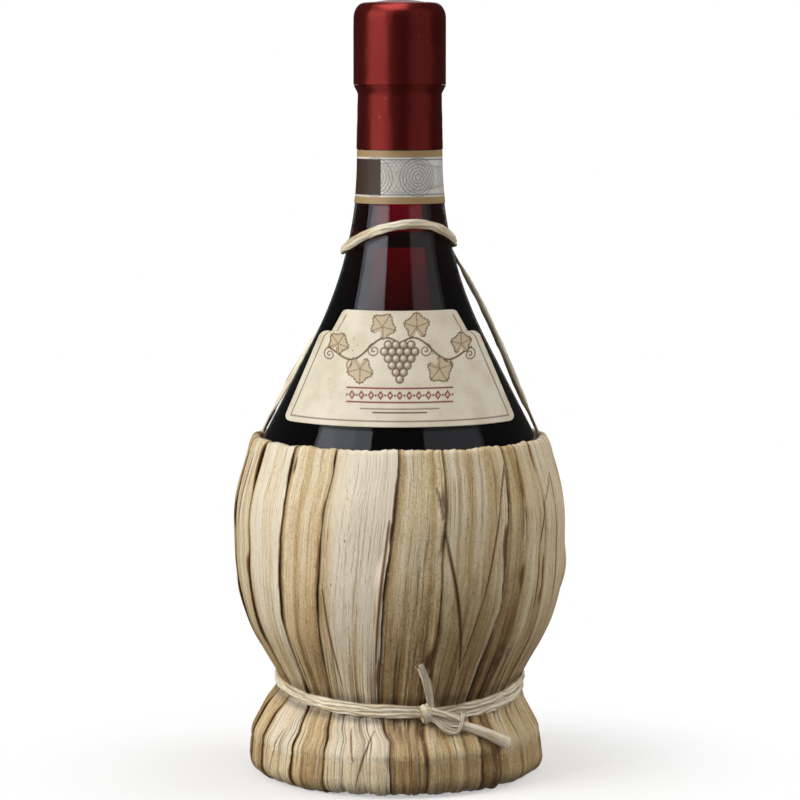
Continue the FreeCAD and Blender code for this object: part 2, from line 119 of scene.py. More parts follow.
def run_lengths(points):
    """How far along their line each of a row of points is."""
    return np.concatenate([[0], np.cumsum(np.linalg.norm(np.diff(points, axis=0), axis=1))])


def eased(low, high, value):
    """0 below low, 1 above high, and a smooth cubic step between them."""
    share = np.clip((value - low) / (high - low), 0, 1)
    return share * share * (3 - 2 * share)


def bell(value, middle, reach):
    """1 at a middle, falling smoothly to almost 0 at twice the reach to either side."""
    return np.exp(-((value - middle) / reach) ** 2)


WANDER_FADE = 0.6
WANDER_STEP = 1.83


def wander(value, length, seed, octaves=3):
    """A smooth seeded wander from about -1 to 1: sines of shorter and shorter length with chance phases."""
    chance = np.random.default_rng(seed)
    total = 0
    for octave in range(octaves):
        stretch = WANDER_STEP ** octave * chance.uniform(0.85, 1.15)
        wave = np.sin(math.tau * (value * stretch / length + chance.uniform()))
        total = total + WANDER_FADE ** octave * wave
    return total / sum(WANDER_FADE ** octave for octave in range(octaves))


# Camera, at the photograph's viewing angle

CAMERA_PLACE = (0.0, -1.11, 0.235)
CAMERA_AIM = (0.0001, 0.0, 0.1252)
CAMERA_LENS = 150.0
CAMERA_SENSOR = 36.0


def add_camera():
    """A long lens a little above the shoulder, aimed at the middle of the flask."""
    data = bpy.data.cameras.new("camera")
    data.lens = CAMERA_LENS
    data.sensor_width = CAMERA_SENSOR
    camera = bpy.data.objects.new("camera", data)
    bpy.context.scene.collection.objects.link(camera)
    place = np.array(CAMERA_PLACE)
    aim = np.array(CAMERA_AIM) - place
    camera.location = place
    pitch = math.atan2(aim[2], math.hypot(aim[0], aim[1]))
    camera.rotation_euler = (math.pi / 2 + pitch, 0, -math.atan2(aim[0], aim[1]))
    bpy.context.scene.camera = camera


# Section paths

ARC_POINTS = 60


def belt(circles, first_normal, last_normal):
    """A dense section path that bends round a row of circles like a belt, with straight runs between them.
    A circle is (centre, radius), with a positive radius where the centre lies to the left of the path."""
    normals = [first_normal]
    for (start, first), (end, second) in zip(circles, circles[1:]):
        span = end - start
        turn = math.asin((first - second) / abs(span))
        normals.append(1j * span / abs(span) * np.exp(1j * turn))
    normals.append(last_normal)
    runs = []
    for (centre, radius), enter, leave in zip(circles, normals, normals[1:]):
        sweep = np.angle(leave / enter)
        if sweep * radius < -TINY:
            sweep += math.copysign(math.tau, radius)
        runs.append(centre - radius * enter * np.exp(1j * np.linspace(0, sweep, ARC_POINTS)))
    return np.concatenate(runs)


def evenly(path, step):
    """A section path with its points an even step apart, and the distance of each along it."""
    lengths = np.concatenate([[0], np.cumsum(np.abs(np.diff(path)))])
    keep = np.concatenate([[True], np.diff(lengths) > TINY])
    at = np.linspace(0, lengths[-1], max(2, round(lengths[-1] / step) + 1))
    return np.interp(at, lengths[keep], path[keep]), at


def left_normals(path):
    """Unit normals to the left of a section path."""
    along = np.gradient(path)
    return 1j * along / np.abs(along)


def flask_path(inset, end):
    """The flask's outside from its lowest point up to a point of the neck, sunk by an inset."""
    circles = [
        (1j * BULB_LOW_Z, BULB_R - inset),
        (1j * BULB_HIGH_Z, BULB_R - inset),
        (complex(NECK_R + FLARE_R, FLARE_Z), -FLARE_R - inset),
        (end, 0),
    ]
    return belt(circles, 1j, -1)


def shoulder_r(z):
    """Outside radius of the flask at heights above its globe, read from its path."""
    path = flask_path(0, complex(NECK_TOP_R, FINISH_Z - FINISH_CHAMFER))
    upper = path[path.imag > BULB_HIGH_Z]
    order = np.argsort(upper.imag)
    return np.interp(z, upper.imag[order], upper.real[order])


CONE_NORMAL = complex(math.cos(SHOULDER_ANGLE), math.sin(SHOULDER_ANGLE))
HOOP = 1j * BULB_HIGH_Z + CONE_NORMAL * (BULB_R + LEAF_STACK + HOOP_R) + 1j * CONE_NORMAL * RIM_UP_CONE


def cover_path(depth):
    """The straw cover's section from inside its rim down to under its foot, sunk by a depth."""
    circles = [
        (HOOP, depth - HOOP_R - LEAF_STACK),
        (1j * BULB_HIGH_Z, depth - BULB_R - LEAF_STACK),
        (1j * BULB_LOW_Z, depth - BULB_R - LEAF_STACK),
        (complex(WAIST_R + WAIST_GROOVE_R, WAIST_Z), WAIST_GROOVE_R + depth),
        (FOOT_SIDE, depth - FOOT_SIDE_TUBE_R - LEAF_STACK),
        (FOOT_EDGE, depth - FOOT_EDGE_TUBE_R - LEAF_STACK),
        (FOOT_INNER, depth - FOOT_TUBE_R - LEAF_STACK),
    ]
    return belt(circles, -CONE_NORMAL, np.exp(1j * COVER_END_ANGLE))


def set_aside(points):
    """Points below the waist moved a little to the left, because the foot was not tied on quite centrally."""
    moved = points.copy()
    moved[..., 0] -= FOOT_ASIDE * eased(WAIST_Z - ASIDE_START, WAIST_Z - ASIDE_WHOLE, points[..., 2])
    return moved


def dipped(points):
    """Points of the cover lowered round the front of the waist, where the tie hangs below its sides."""
    azimuth = np.arctan2(points[..., 0], -points[..., 1])
    front = np.clip(np.cos(azimuth), 0, 1) ** WAIST_DIP_NARROW
    near = bell(points[..., 2], WAIST_Z, WAIST_DIP_REACH)
    lowered = set_aside(points)
    lowered[..., 2] -= WAIST_DIP * front * near
    return lowered


# Meshes from arrays

SEGMENTS = 192
RING_POINTS = 64
SHARP_ANGLE = math.radians(50)


def quads(at):
    """The faces between neighbours in a grid of point numbers."""
    return np.stack([at[:-1, :-1], at[:-1, 1:], at[1:, 1:], at[1:, :-1]], -1).reshape(-1, 4)


def grid_faces(rows, columns, wrap_rows=False, wrap_columns=False):
    """Quads of a grid of points, closed on itself along its rows or columns where asked."""
    at = np.arange(rows * columns).reshape(rows, columns)
    if wrap_rows:
        at = np.concatenate([at, at[:1]], 0)
    if wrap_columns:
        at = np.concatenate([at, at[:, :1]], 1)
    return quads(at)


def spun(section, relief=0):
    """A surface of revolution: the section carried round the axis, moved along its normal by a relief grid.
    A section that ends on the axis closes there in one point, and one that doesn't closes on itself."""
    poles = [abs(section[end].real) < TINY for end in (0, -1)]
    ring = section[1 if poles[0] else 0:len(section) - 1 if poles[1] else None]
    azimuth = np.arange(SEGMENTS) * TURN / SEGMENTS
    lifted = ring[:, None] - left_normals(ring)[:, None] * relief
    points = around(azimuth, lifted.real, lifted.imag).reshape(-1, 3)
    rows = len(ring)
    faces = [grid_faces(rows, SEGMENTS, not any(poles), True)]
    column = np.arange(SEGMENTS)
    onward = np.roll(column, -1)
    last = (rows - 1) * SEGMENTS
    if poles[0]:
        faces.append(np.stack([np.full(SEGMENTS, len(points)), onward, column], -1))
        points = np.concatenate([points, [[0, 0, section[0].imag]]])
    if poles[1]:
        faces.append(np.stack([last + column, last + onward, np.full(SEGMENTS, len(points))], -1))
        points = np.concatenate([points, [[0, 0, section[-1].imag]]])
    return points, faces, None


def slab(outer, inner, uv):
    """A closed thin sheet between two grids of points, with walls along all four edges."""
    rows, columns = outer.shape[:2]
    points = np.concatenate([outer, inner[:, ::-1]], 1)
    faces = [grid_faces(rows, 2 * columns, False, True)]
    at = np.arange(rows * 2 * columns).reshape(rows, 2 * columns)
    top, under = at[:, :columns], at[:, :columns - 1:-1]
    faces.append(np.stack([top[0, 1:], top[0, :-1], under[0, :-1], under[0, 1:]], -1))
    faces.append(np.stack([top[-1, :-1], top[-1, 1:], under[-1, 1:], under[-1, :-1]], -1))
    return points.reshape(-1, 3), faces, both_sides(uv).reshape(-1, 2)


def both_sides(values):
    """Values of a slab's outer grid, repeated on its inner one in the slab's own order."""
    return np.concatenate([values, values[:, ::-1]], 1)


def joined(shapes):
    """Several shapes as one: points one after the other, and faces counted on from the last."""
    points = np.concatenate([shape[0] for shape in shapes])
    starts = np.cumsum([0] + [len(shape[0]) for shape in shapes])
    faces = [part + start for shape, start in zip(shapes, starts) for part in shape[1]]
    return points, faces, np.concatenate([shape[2] for shape in shapes])


def outward(points, faces):
    """The same faces, turned round if the closed shape's signed volume says that they look inwards."""
    volume = 0
    for part in faces:
        corners = points[part]
        for i in range(1, part.shape[1] - 1):
            volume += np.einsum("ij,ij->", corners[:, 0], np.cross(corners[:, i], corners[:, i + 1]))
    return faces if volume > 0 else [part[:, ::-1] for part in faces]


def piece(name, shape, material, body="flask", stands_for=(), values=None):
    """A mesh object from a shape, riding on a body in place of the nodes that it stands for."""
    points, faces, uv = shape
    mesh = bpy.data.meshes.new(name)
    rows = [row for part in outward(points, faces) for row in part.tolist()]
    mesh.from_pydata(points.tolist(), [], rows)
    mesh.polygons.foreach_set("use_smooth", np.ones(len(rows), bool))
    mesh.set_sharp_from_angle(angle=SHARP_ANGLE)
    if uv is not None:
        corner = np.empty(len(mesh.loops), np.int32)
        mesh.loops.foreach_get("vertex_index", corner)
        mesh.uv_layers.new(name="UVMap").data.foreach_set("uv", uv[corner].astype(np.float32).ravel())
    for key, value in (values or {}).items():
        data = mesh.attributes.new(key, "FLOAT", "POINT").data
        data.foreach_set("value", value.astype(np.float32).ravel())
    mesh.materials.append(material)
    made = bpy.data.objects.new(name, mesh)
    bpy.context.scene.collection.objects.link(made)
    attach(made, body)
    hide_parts(*(stands_for or [name]))
    return made


# Shader nodes

class Shade:
    """A socket of a node tree. Sums of shades and numbers add Math nodes, and node adds any other node."""

    def __init__(self, tree, socket=None):
        self.tree = tree
        self.socket = socket

    def node(self, kind, inputs=None, output=0, stops=(), **settings):
        """A node of any type: settings and ramp stops first, then the values or links of its sockets."""
        made = self.tree.nodes.new(kind)
        for key, value in settings.items():
            setattr(made, key, value)
        for place, (position, colour) in enumerate(stops):
            ramp = made.color_ramp.elements
            stop = ramp[place] if place < 2 else ramp.new(position)
            stop.position = position
            stop.color = colour
        for key, value in (inputs or {}).items():
            if isinstance(value, Shade):
                self.tree.links.new(value.socket, made.inputs[key])
            else:
                made.inputs[key].default_value = value
        return Shade(self.tree, made.outputs[output])

    def math(self, operation, *values):
        """A Math node over some values."""
        return self.node("ShaderNodeMath", dict(enumerate(values)), operation=operation)

    def __add__(self, other):
        return self.math("ADD", self, other)

    def __sub__(self, other):
        return self.math("SUBTRACT", self, other)

    def __rsub__(self, other):
        return self.math("SUBTRACT", other, self)

    def __mul__(self, other):
        return self.math("MULTIPLY", self, other)

    __radd__ = __add__
    __rmul__ = __mul__

    def step(self, low, high):
        """0 where this is below low, 1 above high, smooth between; low may be above high."""
        values = {"Value": self, "From Min": low, "From Max": high}
        return self.node("ShaderNodeMapRange", values, interpolation_type="SMOOTHSTEP")

    def mixed(self, first, second):
        """The colour first where this is 0 and second where it is 1."""
        return self.node("ShaderNodeMix", {0: self, 6: first, 7: second}, 2, data_type="RGBA")

    def noise(self, scale, detail=3.0, roughness=0.55):
        """Noise over this vector, stretched by a scale along each of its axes."""
        placed = self.node("ShaderNodeMapping", {"Vector": self, "Scale": scale})
        values = {"Vector": placed, "Scale": 1.0, "Detail": detail, "Roughness": roughness}
        return self.node("ShaderNodeTexNoise", values)

    def cells(self, scale):
        """Distance to the nearest cell point over this vector, stretched by a scale along each axis."""
        placed = self.node("ShaderNodeMapping", {"Vector": self, "Scale": scale})
        return self.node("ShaderNodeTexVoronoi", {"Vector": placed, "Scale": 1.0})

    def axis(self, name):
        """One coordinate of this vector."""
        return self.node("ShaderNodeSeparateXYZ", {"Vector": self}, name)

    def bump(self, distance, strength=1.0):
        """A normal from this height, which is in shares of a distance in metres."""
        return self.node("ShaderNodeBump", {"Height": self, "Distance": distance, "Strength": strength})


def rgb(red, green, blue):
    """A colour of a shader socket from its screen values of 0 to 255."""
    share = np.array([red, green, blue]) / 255
    linear = np.where(share < 0.04045, share / 12.92, ((share + 0.055) / 1.055) ** 2.4)
    return (*linear.tolist(), 1.0)


WHITE = (1.0, 1.0, 1.0, 1.0)


def layered(colour, *layers):
    """A colour with others laid over it in turn, each where its cover is 1."""
    for cover, screen_values in layers:
        colour = cover.mixed(colour, rgb(*screen_values))
    return colour


class Look(Shade):
    """The node tree of a new material or world, as a shade that can end it."""

    def __init__(self, made, output="ShaderNodeOutputMaterial"):
        made.use_nodes = True
        made.node_tree.nodes.clear()
        super().__init__(made.node_tree)
        self.made = made
        self.output = self.tree.nodes.new(output)

    def coordinates(self, kind):
        """The shaded point's coordinates of a kind, such as UV or Object."""
        return self.node("ShaderNodeTexCoord", output=kind)

    def attribute(self, name):
        """A number that the mesh keeps at each point."""
        return self.node("ShaderNodeAttribute", output=2, attribute_name=name)

    def ray(self, kind):
        """1 where the ray is of a kind, such as Is Camera Ray."""
        return self.node("ShaderNodeLightPath", output=kind)

    def ended(self, shade, socket="Surface"):
        """What was made, with a shade linked to its output."""
        self.tree.links.new(shade.socket, self.output.inputs[socket])
        return self.made

    def finished(self, **sockets):
        """What was made, ended in a Principled shader with the given values, named with _ for each space."""
        inputs = {key.replace("_", " "): value for key, value in sockets.items()}
        return self.ended(self.node("ShaderNodeBsdfPrincipled", inputs))


def new_material(name):
    """A bare new material."""
    return Look(bpy.data.materials.new(name))


# Materials

GLASS_IOR = 1.5
WINE_IOR = 1.34
# A strand's UV: how far apart the strands' middles are, half a strand's width, and where each next one starts
STRAND_SPACING = 0.1
STRAND_HALF = 1.5 * MM
STRAND_START = 0.3
# What the wine leaves of the light, and how strongly it takes the rest
WINE_COLOUR = (0.713, 0.043, 0.303, 1.0)
WINE_DENSITY = 300.0
LEAF_RAMP = (
    (0.0, (240, 228, 204)), (1.0, (106, 74, 38)), (0.18, (228, 207, 167)), (0.4, (207, 179, 128)),
    (0.7, (160, 124, 72)))
LABEL_INKS = {"wash": (190, 168, 128), "sepia": (104, 72, 42), "red": (128, 30, 38)}
BAND_INKS = {"engraving": (122, 120, 118), "gold": (166, 138, 98), "block": (62, 46, 36)}
# Pale and dull colour, inks and roughness of the two papers
LABEL_PAPER = ((228, 220, 200), (214, 203, 177), LABEL_INKS, 0.5)
BAND_PAPER = ((226, 224, 218), (208, 205, 197), BAND_INKS, 0.42)


def glass_material():
    """Clear bottle glass with a faint green cast."""
    return new_material("bottle_glass").finished(
        Base_Color=rgb(250, 252, 250), Roughness=0.0, IOR=GLASS_IOR, Specular_IOR_Level=0.25,
        Transmission_Weight=1.0)


def wine_material():
    """Red wine that takes most green and blue out of the light within a neck's width."""
    wine = new_material("red_wine")
    taken = wine.node("ShaderNodeVolumeAbsorption", {"Color": WINE_COLOUR, "Density": WINE_DENSITY})
    wine.ended(taken, "Volume")
    return wine.finished(
        Base_Color=WHITE, Roughness=0.0, IOR=WINE_IOR, Specular_IOR_Level=0.0, Transmission_Weight=1.0)


def foil_material(name, speckled):
    """Lacquered dark red foil, finely rolled, or stamped all over with small dots."""
    foil = new_material(name)
    place = foil.coordinates("Object")
    cloud = place.noise((90.0, 90.0, 30.0))
    dents = place.noise((210.0, 210.0, 90.0), 2.0)
    pits = place.cells((260.0, 260.0, 260.0)).step(0.14, 0.07) * cloud.step(0.52, 0.6)
    colour = cloud.step(0.35, 0.7).mixed((0.29, 0.031, 0.025, 1.0), (0.25, 0.025, 0.020, 1.0))
    colour = (pits * 0.5).mixed(colour, (0.45, 0.12, 0.11, 1.0))
    height = place.noise((700.0, 700.0, 260.0)) * 0.25 + dents * 1.2 + pits * 0.5
    rough = cloud * 0.12 + 0.24
    if speckled:
        dots = place.cells((900.0, 900.0, 900.0)).step(0.45, 0.2)
        height = height + dots
        colour = dots.mixed((0.15, 0.016, 0.014, 1.0), (0.36, 0.06, 0.05, 1.0))
        rough = rough + 0.1
    return foil.finished(
        Base_Color=colour, Roughness=rough, Metallic=0.88, Normal=height.bump(0.14 * MM, 0.4))


def paper_material(name, pale, dull, inks, rough):
    """Cloudy, specked and fibrous paper. The cover of each printed ink is an attribute of the mesh."""
    paper = new_material(name)
    place = paper.coordinates("Object")
    cloud = place.noise((110.0, 110.0, 110.0), 5.0)
    fibres = place.noise((2400.0, 2400.0, 1500.0), 2.0)
    specks = place.cells((420.0, 420.0, 420.0)).step(0.16, 0.06) * cloud.step(0.45, 0.62)
    colour = cloud.step(0.32, 0.68).mixed(rgb(*pale), rgb(*dull))
    printed = [(paper.attribute(key), ink) for key, ink in inks.items()]
    return paper.finished(
        Base_Color=layered(colour, (specks, (150, 132, 100)), *printed),
        Roughness=fibres * 0.15 + rough, Normal=fibres.bump(0.05 * MM, 0.5))


def leaf_material():
    """Dried sedge leaf: long fibres and streaks along it, brown cut edges and specks, painted highlights
    along veins and wrinkles, and painted shade in wrinkles, hollows, laps, round the tie and in splits.
    """
    leaf = new_material("dried_leaf")
    uv = leaf.coordinates("UV")
    tan_and_shade, edge, painted_shade = (leaf.attribute(name) for name in ("tan_and_shade", "edge", "painted_shade"))
    fibre = uv.noise((1400.0, 36.0, 1.0), 3.0, 0.65)
    vein = uv.noise((980.0, 9.0, 1.0), 3.0, 0.6)
    streak = uv.noise((190.0, 6.0, 1.0), 4.0, 0.6)
    blotch = uv.noise((80.0, 24.0, 1.0), 5.0, 0.65)
    grain = uv.noise((1500.0, 800.0, 1.0), 3.0, 0.7)
    crinkle = uv.noise((1700.0, 230.0, 1.0), 2.0, 0.7)
    sand = uv.noise((1500.0, 1000.0, 1.0), 2.0, 0.75)
    specks = uv.cells((330.0, 170.0, 1.0)).step(0.12, 0.05) * blotch.step(0.5, 0.66)
    rough = blotch.step(0.34, 0.62)
    tan = (tan_and_shade + (streak - 0.5) * 0.75 + (blotch - 0.5) * 0.55 + (grain - 0.5) * 0.3).step(0.0, 1.0)
    stops = [(at, rgb(*colour)) for at, colour in LEAF_RAMP]
    # Painted light among the layers: the pale vein lines are painted highlights, the dark and pale crinkle
    # marks are painted shade and highlights of fine wrinkles, and the last layer is painted shade.
    colour = layered(
        tan.node("ShaderNodeValToRGB", {"Fac": tan}, stops=stops),
        (fibre.step(0.46, 0.32) * (tan_and_shade * 0.8 + 0.42), (138, 103, 58)),
        (vein.step(0.42, 0.30) * (tan_and_shade * 1.1 + 0.12), (112, 74, 34)),
        (vein.step(0.56, 0.66) * 0.3, (246, 236, 208)),
        (crinkle.step(0.46, 0.34) * (tan_and_shade * 0.4 + 0.24) * rough, (128, 96, 54)),
        (crinkle.step(0.56, 0.66) * rough * 0.3, (248, 238, 214)),
        (streak.step(0.64, 0.70) * tan_and_shade.step(0.1, 0.8), (118, 78, 38)),
        (sand.step(0.43, 0.30) * (tan_and_shade * 1.5 + 0.05), (100, 74, 40)),
        (specks, (92, 62, 34)),
        (edge * (streak + 0.5), (124, 82, 40)),
        (painted_shade, (40, 24, 10)),
    )
    height = fibre * 0.6 + vein * 0.7 + streak * 0.4 + grain * 0.4 + crinkle * 0.6
    return leaf.finished(
        Base_Color=colour, Roughness=streak * 0.2 + 0.44, Normal=height.bump(0.3 * MM, 0.85),
        Sheen_Weight=0.05)


def raffia_material(name, brown_span=None):
    """Raffia: pale split fibre with streaks, its darker fibre lines painted shade in creases, its bright ones
    painted glints, and its darker edges painted shade between strands. A strand's edges are read from its UV,
    which keeps each strand's middle on a whole number of spacings. The last argument is the stretch of
    lengths over which a strand's one side goes from clear to painted shade, in brown."""
    raffia = new_material(name)
    uv = raffia.coordinates("UV")
    across = uv.axis("X") + STRAND_SPACING / 2
    signed = across.math("MODULO", across, STRAND_SPACING) - STRAND_SPACING / 2
    aside = signed.math("ABSOLUTE", signed)
    edge = aside.step(0.7 * STRAND_HALF, STRAND_HALF) * aside.step(4 * STRAND_HALF, 2 * STRAND_HALF)
    fibre = uv.noise((2000.0, 50.0, 1.0), 2.0)
    streak = uv.noise((900.0, 22.0, 1.0), 3.0)
    blotch = uv.noise((260.0, 120.0, 1.0), 3.0)
    # Painted light: dark fibre lines as shade in creases, bright ones as glints, and dark edges as shade
    # between strands.
    layers = [
        (fibre.step(0.44, 0.32) * 0.65, (138, 106, 62)),
        (fibre.step(0.56, 0.66) * 0.7, (253, 247, 232)),
        (edge * 0.6, (118, 86, 48)),
    ]
    if brown_span:
        # Painted shade down one side of the strand, over the stretch where the strap hangs beside the bottle.
        shaded_side = signed.step(0.5 * STRAND_HALF, -0.5 * STRAND_HALF) * 0.8 + 0.1
        layers.append((uv.axis("Y").step(*brown_span) * shaded_side, (92, 66, 38)))
    colour = ((streak + blotch) * 0.5).step(0.36, 0.64).mixed(rgb(250, 242, 222), rgb(216, 198, 160))
    height = fibre * 0.6 + streak
    return raffia.finished(
        Base_Color=layered(colour, *layers), Roughness=fibre * 0.25 + 0.3,
        Normal=height.bump(0.35 * MM, 0.8), Sheen_Weight=0.1)


def straw_material():
    """Packed straw, seen only under the foot and in the rim."""
    straw = new_material("packed_straw")
    stalks = straw.coordinates("Object").noise((420.0, 420.0, 60.0), 4.0, 0.65)
    return straw.finished(
        Base_Color=stalks.step(0.36, 0.64).mixed(rgb(122, 94, 56), rgb(206, 184, 138)),
        Roughness=stalks * 0.2 + 0.5, Normal=stalks.bump(0.6 * MM, 0.6))


def cork_material():
    """Natural cork: tan with darker pores and a fine grain."""
    cork = new_material("natural_cork")
    place = cork.coordinates("Object")
    cloud = place.noise((160.0, 160.0, 90.0), 4.0)
    pores = place.cells((520.0, 520.0, 240.0)).step(0.30, 0.12) * cloud.step(0.42, 0.58)
    grain = place.noise((2200.0, 2200.0, 2200.0), 2.0)
    colour = cloud.step(0.3, 0.7).mixed(rgb(205, 164, 114), rgb(178, 132, 84))
    return cork.finished(
        Base_Color=layered(colour, (pores, (98, 62, 36))), Roughness=grain * 0.2 + 0.6,
        Normal=(grain * 0.3 - pores).bump(0.25 * MM, 0.7))


# Flask, wine and cork

LIP_ROUND = 0.8 * MM
WINE_EDGE_RISE = 0.9 * MM
WINE_EDGE_SHARE = 0.35
CORK_EASE = 1.0 * MM
CORK_PIT = 0.35 * MM


def rounded(start, corner, end, radius):
    """Points of an arc that rounds a right-angled corner between two section points."""
    back = (start - corner) / abs(start - corner)
    ahead = (end - corner) / abs(end - corner)
    centre = corner + (back + ahead) * radius
    swing = np.linspace(0, math.pi / 2, 9)
    return centre - radius * (ahead * np.cos(swing) + back * np.sin(swing))


def glass_section():
    """The glass wall's section: up the outside, over the rounded mouth, down the bore and the inside."""
    neck = complex(NECK_TOP_R, FINISH_Z - FINISH_CHAMFER)
    outside = evenly(flask_path(0, neck), GLASS_STEP)[0]
    bore = complex(BORE_R, BORE_Z)
    inside = evenly(flask_path(GLASS_WALL, bore), GLASS_STEP)[0][::-1]
    corner = complex(FINISH_R, MOUTH_Z)
    lip = complex(BORE_R, MOUTH_Z)
    mouth = rounded(complex(FINISH_R, FINISH_Z), corner, lip, FINISH_ROUND)
    lip_round = rounded(corner, lip, bore, LIP_ROUND)
    return np.concatenate([outside, [complex(FINISH_R, FINISH_Z)], mouth, lip_round, inside])


def wine_section():
    """The wine's section: the flask's inside up to its filling height, with a raised edge and a flat top."""
    bore = complex(BORE_R + WINE_OVERLAP, BORE_Z)
    side = evenly(flask_path(GLASS_WALL - WINE_OVERLAP, bore), GLASS_STEP)[0]
    side = side[side.imag < FILL_Z]
    edge = side[-1].real
    creep = np.linspace(0, 1, 8)
    top = edge * (1 - WINE_EDGE_SHARE * creep) + 1j * (FILL_Z - WINE_EDGE_RISE * np.sqrt(creep))
    return np.concatenate([side, top, [1j * top[-1].imag]])


def cork_shape():
    """A straight cork with eased ends, pitted all over by seeded pores."""
    low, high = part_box("cork")
    radius = high.x
    ease = CORK_EASE
    side = evenly(np.array([
        complex(0, low.z), complex(radius - ease, low.z), complex(radius, low.z + ease),
        complex(radius, high.z - ease), complex(radius - ease, high.z), complex(0, high.z)]), 0.7 * MM)[0]
    side[0] = complex(0, low.z)
    side[-1] = complex(0, high.z)
    chance = np.random.default_rng(5)
    pits = chance.uniform(0, 1, (len(side) - 2, SEGMENTS))
    depth = CORK_PIT * np.clip((pits - 0.965) / 0.035, 0, 1)
    return spun(side, -np.maximum(depth, np.roll(depth, 1, 1) * 0.7))


# Capsule

FOIL = 0.3 * MM
CAP_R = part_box("capsule_cap")[1].x
CAP_TOP_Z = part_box("capsule_cap")[1].z
CAP_SHOULDER = 5.2 * MM
CAP_OPENING_R = 11.4 * MM
CAP_CUT = 0.8 * MM
CAP_CUT_GAP = 0.2 * MM
CRIMP_BELOW = 4.2 * MM
CRIMP_REACH = 2.6 * MM
DISC_RISE = 1.3 * MM
DISC_STAMP = 0.18 * MM
DISC_STAMP_R = 9.6 * MM
DISC_STAMP_REACH = 0.5 * MM
SKIRT_OUT = 0.45 * MM
# Depth, number and seed of the folds in the foil
CAP_FOLDS = (0.03 * MM, 7, 61)
SKIRT_FOLDS = (0.04 * MM, 9, 63)
SKIRT_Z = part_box("capsule_skirt")[0].z


def foil_relief(section, depth, folds, seed):
    """Hand-rolled foil: shallow folds along the sleeve that change along its height."""
    azimuth = np.arange(SEGMENTS) * math.tau / SEGMENTS
    height = section.imag[:, None]
    drift = wander(height, 30 * MM, seed)
    fold = np.sin(folds * azimuth + 2.5 * drift) + 0.6 * np.sin((2 * folds + 3) * azimuth - 4 * drift)
    crimp = bell(height, CAP_TOP_Z - CRIMP_BELOW, CRIMP_REACH) * wander(azimuth, 0.55, seed + 2)
    return depth * (fold * (0.5 + 0.5 * wander(azimuth + 9 * height, 2.1, seed + 1)) + 2.6 * crimp)


def walled(outside, thick):
    """A closed section: an outside path and the same path set in by a thickness."""
    inside = outside + left_normals(outside) * thick
    return np.concatenate([outside, inside[::-1]])


def cap_section():
    """The cap's section: up the sleeve, round its shoulder and in to the edge that holds the disc."""
    low = complex(CAP_R, FINISH_Z - CAP_CUT)
    swing = np.linspace(0, math.pi / 2, 24)
    centre = complex(CAP_OPENING_R, CAP_TOP_Z - CAP_SHOULDER)
    shoulder = centre + (CAP_R - CAP_OPENING_R) * np.cos(swing) + 1j * CAP_SHOULDER * np.sin(swing)
    rolled_in = complex(CAP_OPENING_R - 0.15 * MM, CAP_TOP_Z - 0.1 * MM)
    path = np.concatenate([[low, low + 0.3j * MM], shoulder, [rolled_in]])
    return walled(evenly(path, 0.6 * MM)[0], FOIL)


def disc_section():
    """The disc's section: under the dome, round its edge and over the top, with a stamped ring."""
    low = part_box("capsule_top_disc")[0].z
    edge_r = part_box("capsule_top_disc")[1].x
    r = np.linspace(0, edge_r, 40)
    dome = DISC_RISE * np.clip(1 - (r / (CAP_OPENING_R - 0.7 * MM)) ** 2, 0, 1)
    ring = DISC_STAMP * bell(r, DISC_STAMP_R, DISC_STAMP_REACH)
    under = r + 1j * (low + dome)
    over = r + 1j * (low + 0.4 * MM + dome + ring)
    return np.concatenate([under, over[::-1]])


def skirt_section():
    """The skirt's section: straight up the neck, then out under the finish where the foil is drawn in."""
    neck = complex(NECK_TOP_R + SKIRT_OUT, FINISH_Z - 4.0 * MM)
    top = complex(CAP_R - 0.05 * MM, FINISH_Z - CAP_CUT - CAP_CUT_GAP)
    path = np.array([
        complex(shoulder_r(SKIRT_Z) + SKIRT_OUT, SKIRT_Z), neck, neck + complex(0.16, 0.6) * MM,
        top - complex(0.14, 0.4) * MM, top])
    return walled(evenly(path, 0.5 * MM)[0], FOIL)


# Printed paper

BAND_LOW_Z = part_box("neck_band")[0].z
BAND_TOP_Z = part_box("neck_band")[1].z
PAPER_OUT = 0.25 * MM
PAPER = 0.2 * MM
BAND_COLUMNS = 420
BAND_GOLD = 2.4 * MM
BAND_RULE_IN = 3.0 * MM
BAND_WAVES = 9
BAND_WAVE_IN = 3.6 * MM
ROSETTE_RINGS = 6
ROSETTE_SPACING = 1.05 * MM
ROSETTE_PITCH = 15.0 * MM
BLOCK_HALF = 7.6 * MM
BLOCK_MIDDLE = -13.9 * MM
INK_BLUR = 0.18 * MM


def line_cover(distance, width):
    """How far ink covers a point at a distance from the middle of a line, with a soft edge."""
    return 1 - eased(width * 0.5, width * 0.5 + INK_BLUR, np.abs(distance))


